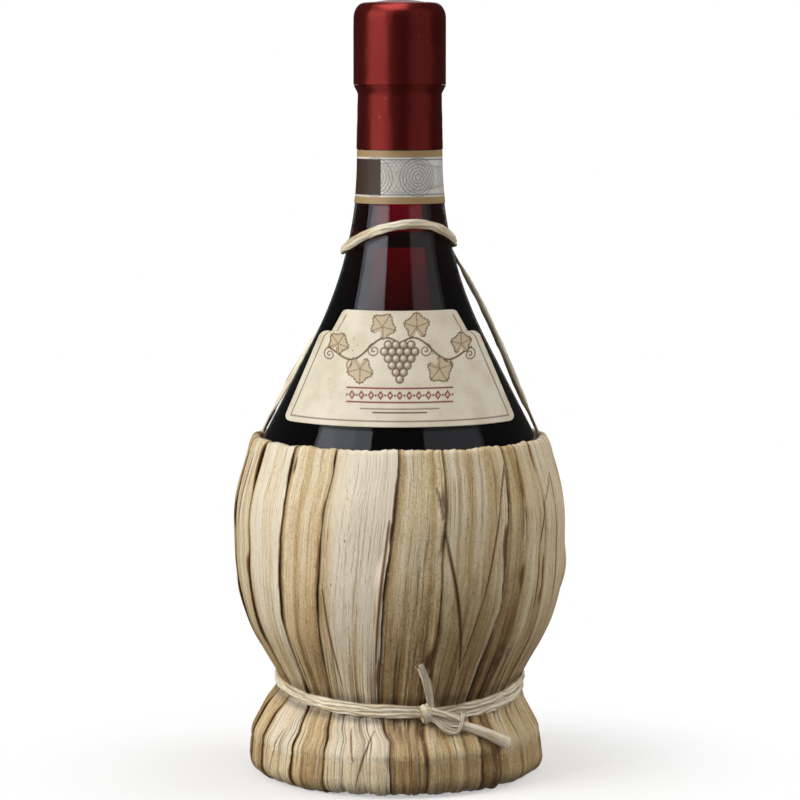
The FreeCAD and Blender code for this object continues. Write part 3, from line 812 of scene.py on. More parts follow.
def neck_band():
    """The paper band: a sleeve of two grids, with its inks worked out on the outer one."""
    z = np.linspace(BAND_LOW_Z, BAND_TOP_Z, 90)[:, None]
    azimuth = np.linspace(0, TURN, BAND_COLUMNS)[None, :] + TURN / 2
    radius = shoulder_r(z[:, 0])[:, None] + PAPER_OUT
    uneven = 0.03 * MM * wander(azimuth / 40 + z / (9 * MM), 3.0, 21)
    outer = around(azimuth, radius + uneven, z)
    inner = around(azimuth, radius + uneven - PAPER, z)
    across = np.radians(azimuth - TURN) * radius
    middle = (BAND_LOW_Z + BAND_TOP_Z) / 2
    up = z - middle + 0 * across
    half = (BAND_TOP_Z - BAND_LOW_Z) / 2
    gold = eased(half - BAND_GOLD, half - 2.1 * MM, np.abs(up))
    inner_rule = line_cover(np.abs(up) - (half - BAND_RULE_IN), 0.2 * MM)
    waves = 0
    for turn in range(BAND_WAVES):
        swing = np.sin(across / (2.1 * MM) + turn * math.tau / BAND_WAVES) * (half - BAND_WAVE_IN)
        swing = swing * (0.82 + 0.18 * np.cos(across / (6 * MM)))
        waves = np.maximum(waves, line_cover(up - swing, 0.1 * MM))
    aside = (across + 1.2 * MM) % ROSETTE_PITCH - ROSETTE_PITCH / 2
    for ring_r in np.arange(1, ROSETTE_RINGS + 1) * ROSETTE_SPACING:
        waves = np.maximum(waves, line_cover(np.hypot(aside, up) - ring_r, 0.16 * MM))
    engraving = np.clip(0.75 * waves + inner_rule, 0, 1) * (1 - gold)
    block = eased(BLOCK_HALF, BLOCK_HALF - 0.25 * MM, np.abs(across - BLOCK_MIDDLE))
    block = block * eased(half - 2.75 * MM, half - 3.0 * MM, np.abs(up))
    uv = np.stack([across, up], -1)
    inks = {"engraving": engraving, "gold": gold, "block": block}
    shape = slab(outer, inner, uv)
    return shape, {key: both_sides(value) for key, value in inks.items()}


LABEL_LOW_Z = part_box("front_label")[0].z
LABEL_TOP_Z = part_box("front_label")[1].z
LABEL_STEP_Z = LABEL_TOP_Z - 7.2 * MM
LABEL_TOP_HALF = 18.4 * MM
LABEL_STEP_IN_HALF = 22.4 * MM
LABEL_STEP_OUT_HALF = 25.9 * MM
LABEL_BASE_HALF = 38.4 * MM
LABEL_CORNER = 2.2 * MM
LABEL_CELL = 0.24 * MM
BORDER = 0.2 * MM
BORDER_IN = 1.8 * MM
# The vine: points and reach of its stem, shares of the stem and reaches of its tendrils, shares of the stem,
# lifts and sizes of its leaves, and the grapes in each row
STEM_POINTS = 400
STEM_REACH = 23.5 * MM
TENDRILS = ((0.36, 2.2), (0.66, 2.0), (0.98, 2.0))
VINE_LEAVES = ((0.24, 3.6, 4.4), (0.55, -4.0, 4.4), (0.86, 3.0, 3.6))
GRAPES = (4, 5, 4, 3, 2, 1)
# Heights and half lengths of the printed rules, in millimetres
RED_RULES = ((12.0, 17.5), (7.6, 17.5))
SEPIA_RULES = ((5.6, 13.0), (4.5, 9.0))
DIAMONDS_UP = 9.8 * MM


def eased_corner(distance, radius):
    """How far an outline draws in at a distance from its end, for a corner of that radius."""
    short = np.clip(1 - distance / radius, 0, 1)
    return radius * (1 - np.sqrt(1 - short ** 2))


def label_half(z, upper):
    """Half width of the label at heights of its lower body, or of the narrower tab above the step."""
    if upper:
        share = (z - LABEL_STEP_Z) / (LABEL_TOP_Z - LABEL_STEP_Z)
        straight = LABEL_STEP_IN_HALF + (LABEL_TOP_HALF - LABEL_STEP_IN_HALF) * share
        return straight - eased_corner(LABEL_TOP_Z - z, LABEL_CORNER / 2)
    share = (z - LABEL_LOW_Z) / (LABEL_STEP_Z - LABEL_LOW_Z)
    straight = LABEL_BASE_HALF + (LABEL_STEP_OUT_HALF - LABEL_BASE_HALF) * share
    drawn_in = eased_corner(z - LABEL_LOW_Z, LABEL_CORNER) + eased_corner(LABEL_STEP_Z - z, LABEL_CORNER)
    return straight - drawn_in


def curve_cover(x, z, line, width):
    """Ink cover of a drawn line: nearest distance from each point to the line's many points."""
    line = np.asarray(line)
    nearest = np.full(x.shape, 1.0)
    for start in range(0, len(line), 40):
        part = line[start:start + 40]
        gap = np.hypot(x[..., None] - part[:, 0], z[..., None] - part[:, 1])
        nearest = np.minimum(nearest, gap.min(-1))
    return line_cover(nearest, width)


def vine_leaf(x, z, at, size, lean):
    """A five-lobed vine leaf: an outline where the distance from its heart meets a lobed and toothed radius
    that is notched at the stalk, and a vein along each lobe."""
    dx = x - at[0]
    dz = z - at[1]
    distance = np.hypot(dx, dz)
    angle = (np.arctan2(dz, dx) - lean + math.pi) % math.tau - math.pi
    notch = 0.5 * bell(np.abs(angle), math.pi, 0.3)
    lobes = 0.84 + 0.1 * np.cos(5 * angle) + 0.08 * np.cos(angle) + 0.035 * np.cos(25 * angle)
    lobes = size * (lobes - notch)
    outline = line_cover(distance - lobes, 0.28 * MM)
    inside = eased(lobes, lobes - 0.3 * MM, distance)
    nearest_vein = np.abs((angle * 5 / math.tau + 0.5) % 1 - 0.5) * math.tau / 5 * distance
    veins = line_cover(nearest_vein, 0.16 * MM) * inside
    return np.maximum(outline, 0.7 * veins), inside


def ruled(x, up, rules, width):
    """Ink cover of level lines, each at a height and out to a reach on both sides."""
    aside = np.abs(x) / MM
    return np.maximum.reduce([
        line_cover(up - height * MM, width) * eased(reach, reach - 0.3, aside) for height, reach in rules])


def label_inks(x, z):
    """The label's printed design over its points: a rule round it, a vine with grapes and a red ornament."""
    up = z - LABEL_LOW_Z
    half = np.where(z > LABEL_STEP_Z, label_half(z, True), label_half(z, False))
    inset = half - np.abs(x)
    from_ends = np.minimum(up, LABEL_TOP_Z - z)
    border = line_cover(inset - BORDER_IN, BORDER) * eased(1.5 * MM, 1.7 * MM, from_ends)
    border = np.maximum(border, line_cover(up - BORDER_IN, BORDER) * eased(1.6 * MM, 1.8 * MM, inset))
    swing = np.linspace(0, 1, STEM_POINTS)
    stem_z = LABEL_LOW_Z + (26.0 + 2.6 * np.sin(7.2 * swing)) * MM - 4 * MM * swing
    coil = np.linspace(0, 3.4 * math.pi, 160)
    sepia = 0.8 * border
    wash = np.zeros_like(x)
    for side in (-1, 1):
        stem = np.stack([side * STEM_REACH * swing, stem_z], -1)
        sepia = np.maximum(sepia, curve_cover(x, z, stem, 0.42 * MM))
        for share, reach in TENDRILS:
            grow = reach * MM * (1 - coil / 11.5)
            spiral = np.stack([side * grow * np.sin(coil), grow * np.cos(coil) - reach * MM], -1)
            tendril = stem[int(share * (STEM_POINTS - 1))] + spiral
            sepia = np.maximum(sepia, 0.9 * curve_cover(x, z, tendril, 0.24 * MM))
        for share, lift, size in VINE_LEAVES:
            heart = stem[int(share * (STEM_POINTS - 1))] + [0, lift * MM]
            drawn, inside = vine_leaf(x, z, heart, size * MM, math.copysign(1.3, lift) + 0.3 * side)
            sepia = np.maximum(sepia * (1 - inside), drawn)
            wash = np.maximum(wash, 0.75 * inside)
    for row, count in enumerate(GRAPES):
        for place in range(count):
            aside = x - (place - (count - 1) / 2) * 2.5 * MM
            above = up - (25.6 - 2.15 * row) * MM
            distance = np.hypot(aside, above)
            inside = eased(1.3 * MM, 1.1 * MM, distance)
            light = eased(0.2 * MM, 1.3 * MM, np.hypot(aside + 0.4 * MM, above - 0.4 * MM))
            sepia = np.maximum(sepia * (1 - inside), line_cover(distance - 1.22 * MM, 0.26 * MM))
            sepia = np.maximum(sepia, inside * light * 0.7)
    sepia = np.maximum(sepia, ruled(x, up, SEPIA_RULES, 0.22 * MM))
    red = ruled(x, up, RED_RULES, 0.3 * MM)
    above = np.abs(up - DIAMONDS_UP)
    for place in range(-5, 6):
        aside = np.abs(x - place * 3.1 * MM)
        diamond = aside / (1.15 * MM) + above / (1.6 * MM)
        red = np.maximum(red, eased(1.0, 0.85, diamond) * (1 - 0.85 * eased(0.5, 0.4, diamond)))
        red = np.maximum(red, eased(0.42, 0.3, np.hypot(aside - 1.55 * MM, above) / MM))
    return {"sepia": np.clip(sepia, 0, 1), "wash": wash, "red": red}


def front_label():
    """The label: a lower body and a narrower tab that share the tab's columns, wrapped on the shoulder."""
    tab = round(2 * LABEL_STEP_IN_HALF / LABEL_CELL)
    wing = round(1.25 * (LABEL_BASE_HALF - LABEL_STEP_IN_HALF) / LABEL_CELL)
    low_z = np.linspace(LABEL_LOW_Z, LABEL_STEP_Z, round((LABEL_STEP_Z - LABEL_LOW_Z) / LABEL_CELL))
    high_z = np.linspace(LABEL_STEP_Z, LABEL_TOP_Z, round((LABEL_TOP_Z - LABEL_STEP_Z) / LABEL_CELL))
    inner = np.linspace(-1, 1, tab + 1)[None, :] * LABEL_STEP_IN_HALF
    outer = np.linspace(0, 1, wing + 1)[None, 1:]
    reach = label_half(low_z, False)[:, None] - LABEL_STEP_IN_HALF
    right = LABEL_STEP_IN_HALF + outer * reach
    body_x = np.concatenate([-right[:, ::-1], np.repeat(inner, len(low_z), 0), right], 1)
    shrink = label_half(high_z[1:], True)[:, None] / LABEL_STEP_IN_HALF
    tab_x = inner * shrink
    body_z = np.repeat(low_z[:, None], body_x.shape[1], 1)
    tab_z = np.repeat(high_z[1:, None], tab_x.shape[1], 1)
    body_at = np.arange(body_x.size).reshape(body_x.shape)
    tab_at = body_x.size + np.arange(tab_x.size).reshape(tab_x.shape)
    tab_at = np.concatenate([body_at[-1:, wing:wing + tab + 1], tab_at], 0)
    faces = [quads(body_at), quads(tab_at)]
    x = np.concatenate([body_x.ravel(), tab_x.ravel()])
    z = np.concatenate([body_z.ravel(), tab_z.ravel()])
    uneven = 0.02 * MM * wander(x / (11 * MM) + z / (7 * MM), 2, 4)
    r = shoulder_r(z) + PAPER_OUT / math.cos(SHOULDER_ANGLE) + uneven
    points = np.stack([x, -np.sqrt(r ** 2 - x ** 2), z], -1)
    return (points, faces, np.stack([x, z], -1)), label_inks(x, z)


# Leaf strips

LEAF_ROW = 0.95 * MM
# Where the strips stand off the globe: how far, at which height, over which reach
SLACK = ((0.8 * MM, 48 * MM, 9 * MM), (0.5 * MM, 98 * MM, 10 * MM))
LEAF_COLUMN = 0.32 * MM
LEAF_SHEET = 0.34 * MM
FINE_PLEAT = 0.95 * MM
FINE_PLEAT_RUN = 1.5 * MM
BROAD_PLEAT = 0.8 * MM
BROAD_PLEAT_RUN = 3.4 * MM
RIB = 0.04 * MM
CREASE = 0.2 * MM
CREASE_RUN = 4.6 * MM
BILLOW = 0.3 * MM
CURL = 0.75 * MM
FOOT_FOLD_Z = 12.6 * MM
FOOT_FOLD = 0.35 * MM
FOOT_FOLD_REACH = 0.55 * MM
RIM_RAGGED = 0.45 * MM
STALK = 0.35 * MM
# How far a strip's edges wobble and its free edge frays, in degrees
EDGE_WOBBLE = 0.4
EDGE_FRAY = 0.12
# Brown lines and dark splits on the strips: azimuth and height of their two ends, in degrees and millimetres,
# and half their width. The splits are painted shade, and so is the line at -71 degrees, the shade of a fold.
LEAF_MARKS = (
    ((15.3, 87), (24.7, 44), 0.8), ((40.7, 108), (36.7, 96), 0.4), ((36.7, 96), (29.4, 64), 0.4),
    ((29.4, 64), (25.1, 45), 0.4), ((-26.9, 69), (-25.5, 34), 0.45), ((69.5, 103), (59.9, 94), 0.45),
    ((59.9, 94), (55.2, 80), 0.45), ((55.2, 80), (55.5, 60), 0.3), ((69.5, 103), (68.0, 94), 0.5),
    ((68.0, 94), (70.5, 58), 0.5), ((-19.5, 25), (-16.2, 12), 0.4), ((-9.4, 25), (-15.3, 4), 0.5),
    ((-53.5, 20), (-58.0, 5), 0.3), ((-3.4, 92), (-9.2, 46), 0.65),
    ((-71, 109), (-74, 86), 0.9), ((48.0, 108), (46.0, 84), 0.3), ((112, 100), (104, 46), 0.4),
    ((150, 92), (158, 48), 0.4), ((196, 104), (190, 52), 0.4), ((236, 98), (243, 44), 0.4),
)
LEAF_SPLITS = (
    ((13.1, 102), (14.6, 92), 0.45), ((14.6, 92), (24.7, 44), 0.2), ((40.6, 107), (40.9, 96), 0.35),
    ((48.0, 45), (47.3, 48), 0.4), ((-41.1, 110), (-41.4, 105.5), 0.6),
)
# How far each front edge leans off its meridian at the rim, the waist and the foot, in degrees
EDGE_LEANS = {
    1: (3.4, 0.8, 0.8), 2: (1.1, -4.0, -0.8), 3: (2.2, -6.4, -2.2), 4: (-0.7, -10.0, -2.4),
    5: (2.8, -1.4, -1.4), 6: (3.8, -4.6, -2.0), 7: (2.8, -3.2, -1.5)}
# How tanned each strip is, from 0 for pale to 1 for brown
LEAF_TONES = (
    0.26, 0.10, 0.30, 0.02, 0.33, 0.26, 0.46, 0.22, 0.24, 0.36,
    0.20, 0.36, 0.12, 0.42, 0.26, 0.34, 0.08, 0.38, 0.22, 0.42)


def leaf_edges():
    """Azimuths of the strips' edges, and how far each leans at the rim, the waist and the foot."""
    edges = LEAF_FIRST_AZIMUTH + np.concatenate([[0], np.cumsum(LEAF_WIDTHS)])
    chance = np.random.default_rng(11)
    leans = chance.uniform(-1.6, 1.6, (len(edges), 2))[:, [0, 1, 1]]
    leans[0] = 0
    for place, lean in EDGE_LEANS.items():
        leans[place] = lean
    leans[-1] = leans[0]
    return edges, leans


def drawn_marks(marks, azimuth, height):
    """How strongly drawn lines show at points of a strip: nearest distance to each line's straight run."""
    shown = np.zeros(azimuth.shape)
    for (first, top), (last, bottom), wide in marks:
        share = np.clip((height / MM - top) / (bottom - top), 0, 1)
        beyond = np.abs(height / MM - top - share * (bottom - top))
        aside = (azimuth - first - share * (last - first) + TURN / 2) % TURN - TURN / 2
        distance = np.hypot(np.radians(aside) * BULB_R / MM, beyond)
        slim = wide * np.sqrt(np.clip(4 * share * (1 - share), 0.15, 1))
        shown = np.maximum(shown, eased(0.85 * slim + 0.22, 0.4 * slim, distance))
    return shown


def leaf_strip(index, edges, leans):
    """One leaf strip. Down it runs the cover's section; across it the azimuth goes from edge to edge.
    Its left edge is tucked under the strip before it and its right edge lies on the next, and it is
    moved along the section's normal by ribs, gathers where the cover narrows, and a curl at the free edge."""
    path, down = evenly(cover_path(0), LEAF_ROW)
    normal = left_normals(path)[:, None]
    width = math.radians(edges[index + 1] - edges[index]) * BULB_R
    columns = max(14, round(width / LEAF_COLUMN))
    across = np.linspace(0, 1, columns)[None, :]
    row = down[:, None]
    waist = down[np.argmin(np.abs(path - complex(WAIST_R, WAIST_Z)))]
    stops = np.array([0.14 * waist, waist, waist + 12 * MM])

    height = path.imag[:, None] + 0 * across

    def sway(value, length, seed, octaves=3):
        """A wander of this strip's own over a length in millimetres."""
        return wander(value, length * MM, seed + index, octaves)

    def edge(place):
        """An edge's azimuths down the strip: its meridian, its lean and a wobble."""
        lean = np.interp(row, stops, leans[place])
        return edges[place] + lean + EDGE_WOBBLE * wander(row, 52 * MM, 100 + place)

    left = edge(index) - LEAF_LAP
    right = edge(index + 1) + EDGE_FRAY * sway(row, 9, 300)
    azimuth = left + (right - left) * across
    flat = across * (width + 2 * LEAF_LAP * MM)
    lap = (azimuth - left) / LEAF_LAP
    tucked = eased(1.6, 0.0, lap)
    narrowed = np.clip(0.96 - path.real / BULB_R, 0, 1)
    gather = (narrowed * eased(0.30, 0.46, down / down[-1]))[:, None] / 0.22
    drift = sway(row, 80, 500, 2)
    chance = 0.5 + 0.5 * sway(flat, 6, 510)
    phase = flat / FINE_PLEAT_RUN + 0.35 * drift + 2.1 * sway(flat, 8, 520)
    pleats = (np.abs(np.sin(phase)) - 1) * FINE_PLEAT * (0.3 + 0.7 * chance) * gather
    broad = flat / BROAD_PLEAT_RUN + 0.3 * drift + index
    pleats = pleats + (np.abs(np.sin(broad)) - 1) * BROAD_PLEAT * gather
    ribs = RIB * sway(flat + 0.5 * MM * drift, 5.5, 540)
    crease_at = np.abs(np.sin(flat / CREASE_RUN + 0.22 * drift + 1.7 * index))
    creases = -CREASE * eased(0.10, 0.0, crease_at) * eased(-0.4, 0.7, sway(row, 66, 550, 2))
    billow = BILLOW * sway(row, 66, 560, 2) * np.sin(math.pi * across)
    free = eased(0.84, 1.0, across)
    curl = free * (0.25 + 0.9 * np.clip(sway(row, 44, 580, 2), 0, 1)) * CURL
    lift = ribs + pleats + creases + billow + curl - (LEAF + 0.3 * MM) * tucked
    for slack, at, reach in SLACK:
        lift = lift + slack * bell(height, at, reach)
    fold_z = FOOT_FOLD_Z + 0.8 * MM * wander(azimuth, 34.0, 590)
    lift = lift - FOOT_FOLD * bell(height, fold_z, FOOT_FOLD_REACH)
    rim = eased(9 * MM, 2 * MM, row)
    lift = lift * (1 - 0.8 * rim) - 0.3 * MM * rim
    ragged = wander(azimuth, 23.0, 600 + index) + 0.6 * wander(azimuth, 3.1, 620 + index)
    ragged = RIM_RAGGED * rim * ragged
    sheets = []
    for sunk in (0, LEAF_SHEET):
        moved = path[:, None] + normal * (lift - sunk)
        points = dipped(around(azimuth, moved.real, moved.imag + ragged))
        points[..., 2] = np.maximum(points[..., 2], 0.3 * sunk)
        sheets.append(points)
    uv = stacked(flat + 0.13 * index, row + 0.41 * index)
    brown_span = (0.6 + 1.5 * np.clip(sway(row, 31, 660), 0, 1)) * MM
    near_edge = eased(brown_span, 0.3 * brown_span, (1 - across) * width) * eased(-0.2, 0.5, sway(row, 46, 630))
    # Brown edges and marks; the mark at -71 degrees is painted shade of a fold.
    near_edge = np.maximum(near_edge, drawn_marks(LEAF_MARKS, azimuth, height))
    # Painted shade: darker in the pleats' hollows and the creases, beside the lapped left edge, in bands just
    # below and above the tie, and along the dark split lines.
    hollow = eased(0.22, 0.0, np.abs(np.sin(phase))) * eased(0.04, 0.4, gather) * (0.3 + 0.65 * chance)
    hollow = np.maximum(hollow, -creases / CREASE * 0.45)
    lapped = eased(1.34, 1.06, lap) * (0.7 + 0.3 * sway(row, 30, 640))
    # The strip's own tan and a random wander, with painted shade on the lower globe, below the foot's fold
    # and beside the tucked left edge; the foot below the waist is darker too.
    low = eased(0.085, 0.036, height) * eased(0.030, 0.036, height)
    tan_and_shade = LEAF_TONES[index] + 0.22 * low + 0.10 * sway(flat, 11, 650) + 0.12 * (height < fold_z)
    tan_and_shade = tan_and_shade + 0.11 * eased(0.031, 0.026, height) + 0.28 * eased(1.8, 1.05, lap)
    under_tie = 0.6 * bell(height, WAIST_Z - 3.0 * MM, 1.3 * MM)
    over_tie = 0.45 * bell(height, WAIST_Z + 3.2 * MM, 1.4 * MM)
    split = 0.9 * drawn_marks(LEAF_SPLITS, azimuth, height)
    painted_shade = np.clip(np.maximum.reduce([hollow, lapped, under_tie, over_tie, split]), 0, 1)
    values = {"tan_and_shade": tan_and_shade, "edge": near_edge, "painted_shade": painted_shade}
    values = {key: both_sides(np.broadcast_to(value, azimuth.shape)) for key, value in values.items()}
    return slab(*sheets, uv), values


def ring_points(centre, radius, ridges, twist, depth):
    """A closed ring section turned round the axis, ridged like twisted straw by a helical wave."""
    theta = np.arange(RING_POINTS) * math.tau / RING_POINTS
    azimuth = np.arange(SEGMENTS) * TURN / SEGMENTS
    wave = depth * np.sin(ridges * theta[:, None] + twist * np.radians(azimuth)[None, :])
    section = centre + (radius - depth + wave) * np.exp(1j * theta)[:, None]
    faces = grid_faces(RING_POINTS, SEGMENTS, True, True)
    return around(azimuth, section.real, section.imag).reshape(-1, 3), [faces], None


def foot_ring():
    """Packed straw: the belt round the foot's two tubes, ridged by stalks that run slantwise round it."""
    tubes = [(FOOT_SIDE, -FOOT_SIDE_TUBE_R), (FOOT_EDGE, -FOOT_EDGE_TUBE_R)]
    circles = [(FOOT_INNER, -FOOT_TUBE_R), *tubes, (FOOT_INNER, -FOOT_TUBE_R)]
    section = evenly(belt(circles, -1, -1), 1.0 * MM)[0][:-1]
    turn = np.arange(SEGMENTS)[None, :] * math.tau / SEGMENTS
    stalk = np.arange(len(section))[:, None] * math.tau / len(section)
    relief = STALK * (np.sin(26 * stalk + 9 * turn) + 0.5 * np.sin(41 * stalk - 5 * turn + 1) - 1.6)
    points, faces, uv = spun(section, -relief)
    return set_aside(points), faces, uv


# Raffia

TIE_R = WAIST_R + 0.85 * MM
TIE_END_AZIMUTH = 11.5
TIE_END_PART = 0.7 * MM
KNOT_AZIMUTH = 20.0
KNOT_OUT = around(KNOT_AZIMUTH, 1.0, 0.0)
KNOT_RIGHT = around(KNOT_AZIMUTH + TURN / 4, 1.0, 0.0)
RIBBON_COLUMNS = 13
TIE_POINTS = 620
TIE_WIDTH = 2.9 * MM
TIE_THICK = 0.8 * MM
# The knot's two wraps, as wrap_loop takes them, and the places along its four strands, each with its width
KNOT_WRAPS = ((-6.4, -5.0, 1.2, 2.6, 2.2, -0.9, 3.9), (5.0, -8.8, 1.7, 3.0, 1.9, 1.0, 1.7))
KNOT_STRANDS = (
    (2.6, (-6.2, -3.4, 2.6), (-3.4, -4.6, 3.2), (0.2, -5.8, 3.5), (3.2, -7.0, 3.3), (5.4, -8.2, 2.6)),
    (2.5, (-6.0, -5.4, 2.4), (-3.2, -7.4, 2.9), (-0.4, -10.0, 3.4), (2.6, -11.2, 3.1), (5.2, -10.4, 2.2)),
    (2.7, (-5.6, -4.4, 1.6), (-2.6, -6.4, 2.1), (0.6, -8.2, 2.8), (3.4, -9.2, 2.8), (5.6, -9.2, 2.2)),
    (2.4, (-5.8, -4.6, 1.2), (-2.0, -5.2, 1.6), (2.2, -6.0, 2.0), (5.2, -6.6, 1.9), (7.4, -5.4, 1.2)),
)


def ribbon(path, out, width, thick, twist=0.0, arch=0.0, seed=0, creased=0.3):
    """A flat strand: a lens-shaped section with creases, carried along a path and turned by a twist.
    out is where its face looks, width and thick are full sizes, and arch hollows its underside."""
    along = unit(np.gradient(path, axis=0))
    side = unit(np.cross(along, out))
    face = np.cross(side, along)
    lengths = run_lengths(path)[:, None]
    twist = np.broadcast_to(np.asarray(twist, float), len(path))[:, None]
    width = np.broadcast_to(np.asarray(width, float), len(path))[:, None]
    wide = side * np.cos(twist) + face * np.sin(twist)
    up = face * np.cos(twist) - side * np.sin(twist)
    x = np.linspace(-1, 1, RIBBON_COLUMNS)[None, :]
    crease = creased * thick * np.sin(7 * x + 2.4 * wander(lengths, 16 * MM, seed))
    middle = arch * (1 - x ** 2) + crease
    half = 0.5 * thick * (1 - 0.8 * np.abs(x) ** 3)
    spread = x * width / 2 * (1 + 0.10 * wander(lengths, 11 * MM, seed + 1))
    sheets = [
        path[:, None] + wide[:, None] * spread[..., None] + up[:, None] * (middle + sign * half)[..., None]
        for sign in (1, -1)]
    return slab(*sheets, stacked(x * STRAND_HALF + seed * STRAND_SPACING, lengths + seed * STRAND_START))


def waist_tie():
    """Two turns of flat raffia round the waist, close together on the left and parted on the right."""
    azimuth = np.linspace(0, 2 * TURN, TIE_POINTS) + TIE_END_AZIMUTH
    share = np.linspace(-1, 1, TIE_POINTS)
    part = 1.2 * MM + 2.0 * MM * np.clip(np.cos(np.radians(azimuth - 58)), 0, 1) ** 2
    part = TIE_END_PART + (part - TIE_END_PART) * eased(1.0, 0.95, np.abs(share))
    z = WAIST_Z + share * part + 0.25 * MM * wander(azimuth, 150.0, 31)
    r = TIE_R + 0.12 * MM * wander(azimuth, 70.0, 32) + 0.25 * MM * (share > 0)
    path = dipped(around(azimuth, r, z))
    twist = 0.22 * wander(azimuth, 95.0, 33)
    return ribbon(path, around(azimuth, 1.0, 0.0), TIE_WIDTH, TIE_THICK, twist, 0.15 * MM, 34)


def knot_place(side, rise, out):
    """Points by the knot: to the right along the waist, above it and out from the tie, in millimetres."""
    side, rise, out = (np.asarray(value, float) for value in (side, rise, out))
    sides = side[..., None] * KNOT_RIGHT + out[..., None] * KNOT_OUT
    return sides * MM + KNOT_OUT * TIE_R + stacked(0, 0, WAIST_Z + rise * MM)


def curve(places, count):
    """A smooth line through a few places, by cubic pieces over the distances along them."""
    places = np.asarray(places, float)
    at = run_lengths(places)
    slopes = np.gradient(places, at, axis=0)
    fine = np.linspace(0, at[-1], count)
    i = np.clip(np.searchsorted(at, fine) - 1, 0, len(at) - 2)
    step = (at[i + 1] - at[i])[:, None]
    t = ((fine - at[i])[:, None]) / step
    start, end = places[i], places[i + 1]
    return (
        start * (1 + 2 * t) * (1 - t) ** 2 + end * t ** 2 * (3 - 2 * t)
        + slopes[i] * step * t * (1 - t) ** 2 - slopes[i + 1] * step * t ** 2 * (1 - t))


def wrap_loop(side, rise, out, tall, deep, lean, width, seed):
    """A turn of raffia round the strands: an ellipse across them, leaned along the waist."""
    swing = np.linspace(-0.3, math.tau + 0.15, 60)
    grow = 1 + 0.05 * swing / math.tau
    path = knot_place(
        side + lean * np.sin(swing), rise + tall * np.sin(swing) * grow, out + deep * np.cos(swing) * grow)
    return ribbon(path, unit(path - path.mean(0)), width * MM, 0.5 * MM, 0.0, 0.1 * MM, seed)


def waist_knot():
    """The overhand knot: a wide wrap at the left, four strands that bulge down to the right, a wrap there."""
    shapes = [wrap_loop(*wrap, 41 + place) for place, wrap in enumerate(KNOT_WRAPS)]
    for place, (width, *strand) in enumerate(KNOT_STRANDS):
        path = curve(knot_place(*np.array(strand).T), 40)
        shapes.append(ribbon(path, KNOT_OUT, width * MM, 0.8 * MM, 0.6 - 0.5 * place, 0.5 * MM, 43 + place))
    return joined(shapes)


def knot_tail_up():
    """The end that stands up to the left: two leaves of one folded ribbon, wider at the cut tip."""
    shapes = []
    for place, (tip, fold) in enumerate(((-10.4, 0.6), (-8.9, -0.55))):
        path = curve(knot_place([-4.6, -5.6, -7.2, tip], [-4.0, 0.2, 6.0, 11.8], [2.0, 2.8, 4.0, 5.0]), 44)
        width = np.linspace(2.4, 3.6, 44) * MM
        shapes.append(ribbon(path, KNOT_OUT, width, 0.35 * MM, fold, 0.1 * MM, 47 + place))
    return joined(shapes)


def knot_tail_down():
    """The end that points down to the right: a leaf rolled up on itself, hollow at its cut tip."""
    ends = knot_place([4.6, 21.6], [-9.2, -16.4], [2.0, 3.4])
    share = np.linspace(0, 1, 60)[:, None]
    path = ends[0] * (1 - share) + ends[1] * share
    path[:, 2] += 0.5 * MM * np.sin(math.pi * share[:, 0])
    along = unit(ends[1] - ends[0])
    face = unit(KNOT_OUT - along * (KNOT_OUT @ along))
    side = np.cross(along, face)
    roll = np.linspace(0.4, 2.3 * math.pi + 0.4, 40)[None, :]
    size = (1.45 + 0.6 * share ** 0.7) * MM * (1 - 0.05 * roll / math.tau)
    sheets = []
    for inset in (0, 0.24 * MM):
        radius = (size - inset)[..., None]
        sheets.append(path[:, None] + radius * (
            np.cos(roll)[..., None] * face * 0.86 + np.sin(roll)[..., None] * side))
    return slab(*sheets, stacked(roll * 1.4 * MM + 0.3 * STRAND_SPACING, share * 20 * MM))


# Neck cord

# Azimuth, distance from the axis and height of the free stretches, in degrees and millimetres
CORD_RIGHT_POINTS = (
    (97.5, 46.8, 113.5), (98.6, 41.7, 125.3), (100.2, 36.3, 138.7), (102.9, 30.6, 152.0),
    (107.4, 24.1, 165.3), (112.5, 20.6, 171.6), (121.0, 19.5, 174.3),
)
CORD_LEFT_POINTS = (
    (216.0, 20.9, 177.8), (226.0, 23.0, 175.5), (231.0, 23.0, 170.4), (234.5, 24.2, 162.5),
    (242.0, 27.9, 151.0), (252.5, 32.1, 142.6), (258.5, 37.0, 132.6), (260.3, 41.8, 123.2),
    (260.5, 46.6, 113.9),
)
CORD_FIRST_AZIMUTH = 133.0
CORD_LAST_AZIMUTH = 565.0
CORD_STEPS = 21
CORD_CREST_AZIMUTH = 374.0
CORD_FRONT_RISE = 8.4 * MM
# How sharply the rise comes to its crest, left and right of it
CORD_BENDS = (1.0, 1.6)
CORD_LAYER_RISE = 3.0 * MM
CORD_LOW_Z = BULB_HIGH_Z + 91.9 * MM
CORD_OFF_GLASS = 1.1 * MM
CORD_WIDTH = 3.1 * MM
CORD_THICK = 0.85 * MM
FREE_CORD_TURN = 0.9
# Lengths from each end over which the free stretches turn and turn back
FREE_CORD = ((0.003, 0.014, 0.069, 0.056), (0.004, 0.022, 0.072, 0.054))
CORD_SEED = 53
# Lengths along the cord over which one side of the right strap goes from clear to painted shade, where it
# hangs in the bottle's shade.
CORD_SHADED_SPAN = (CORD_SEED * STRAND_START + 74 * MM, CORD_SEED * STRAND_START + 64 * MM)


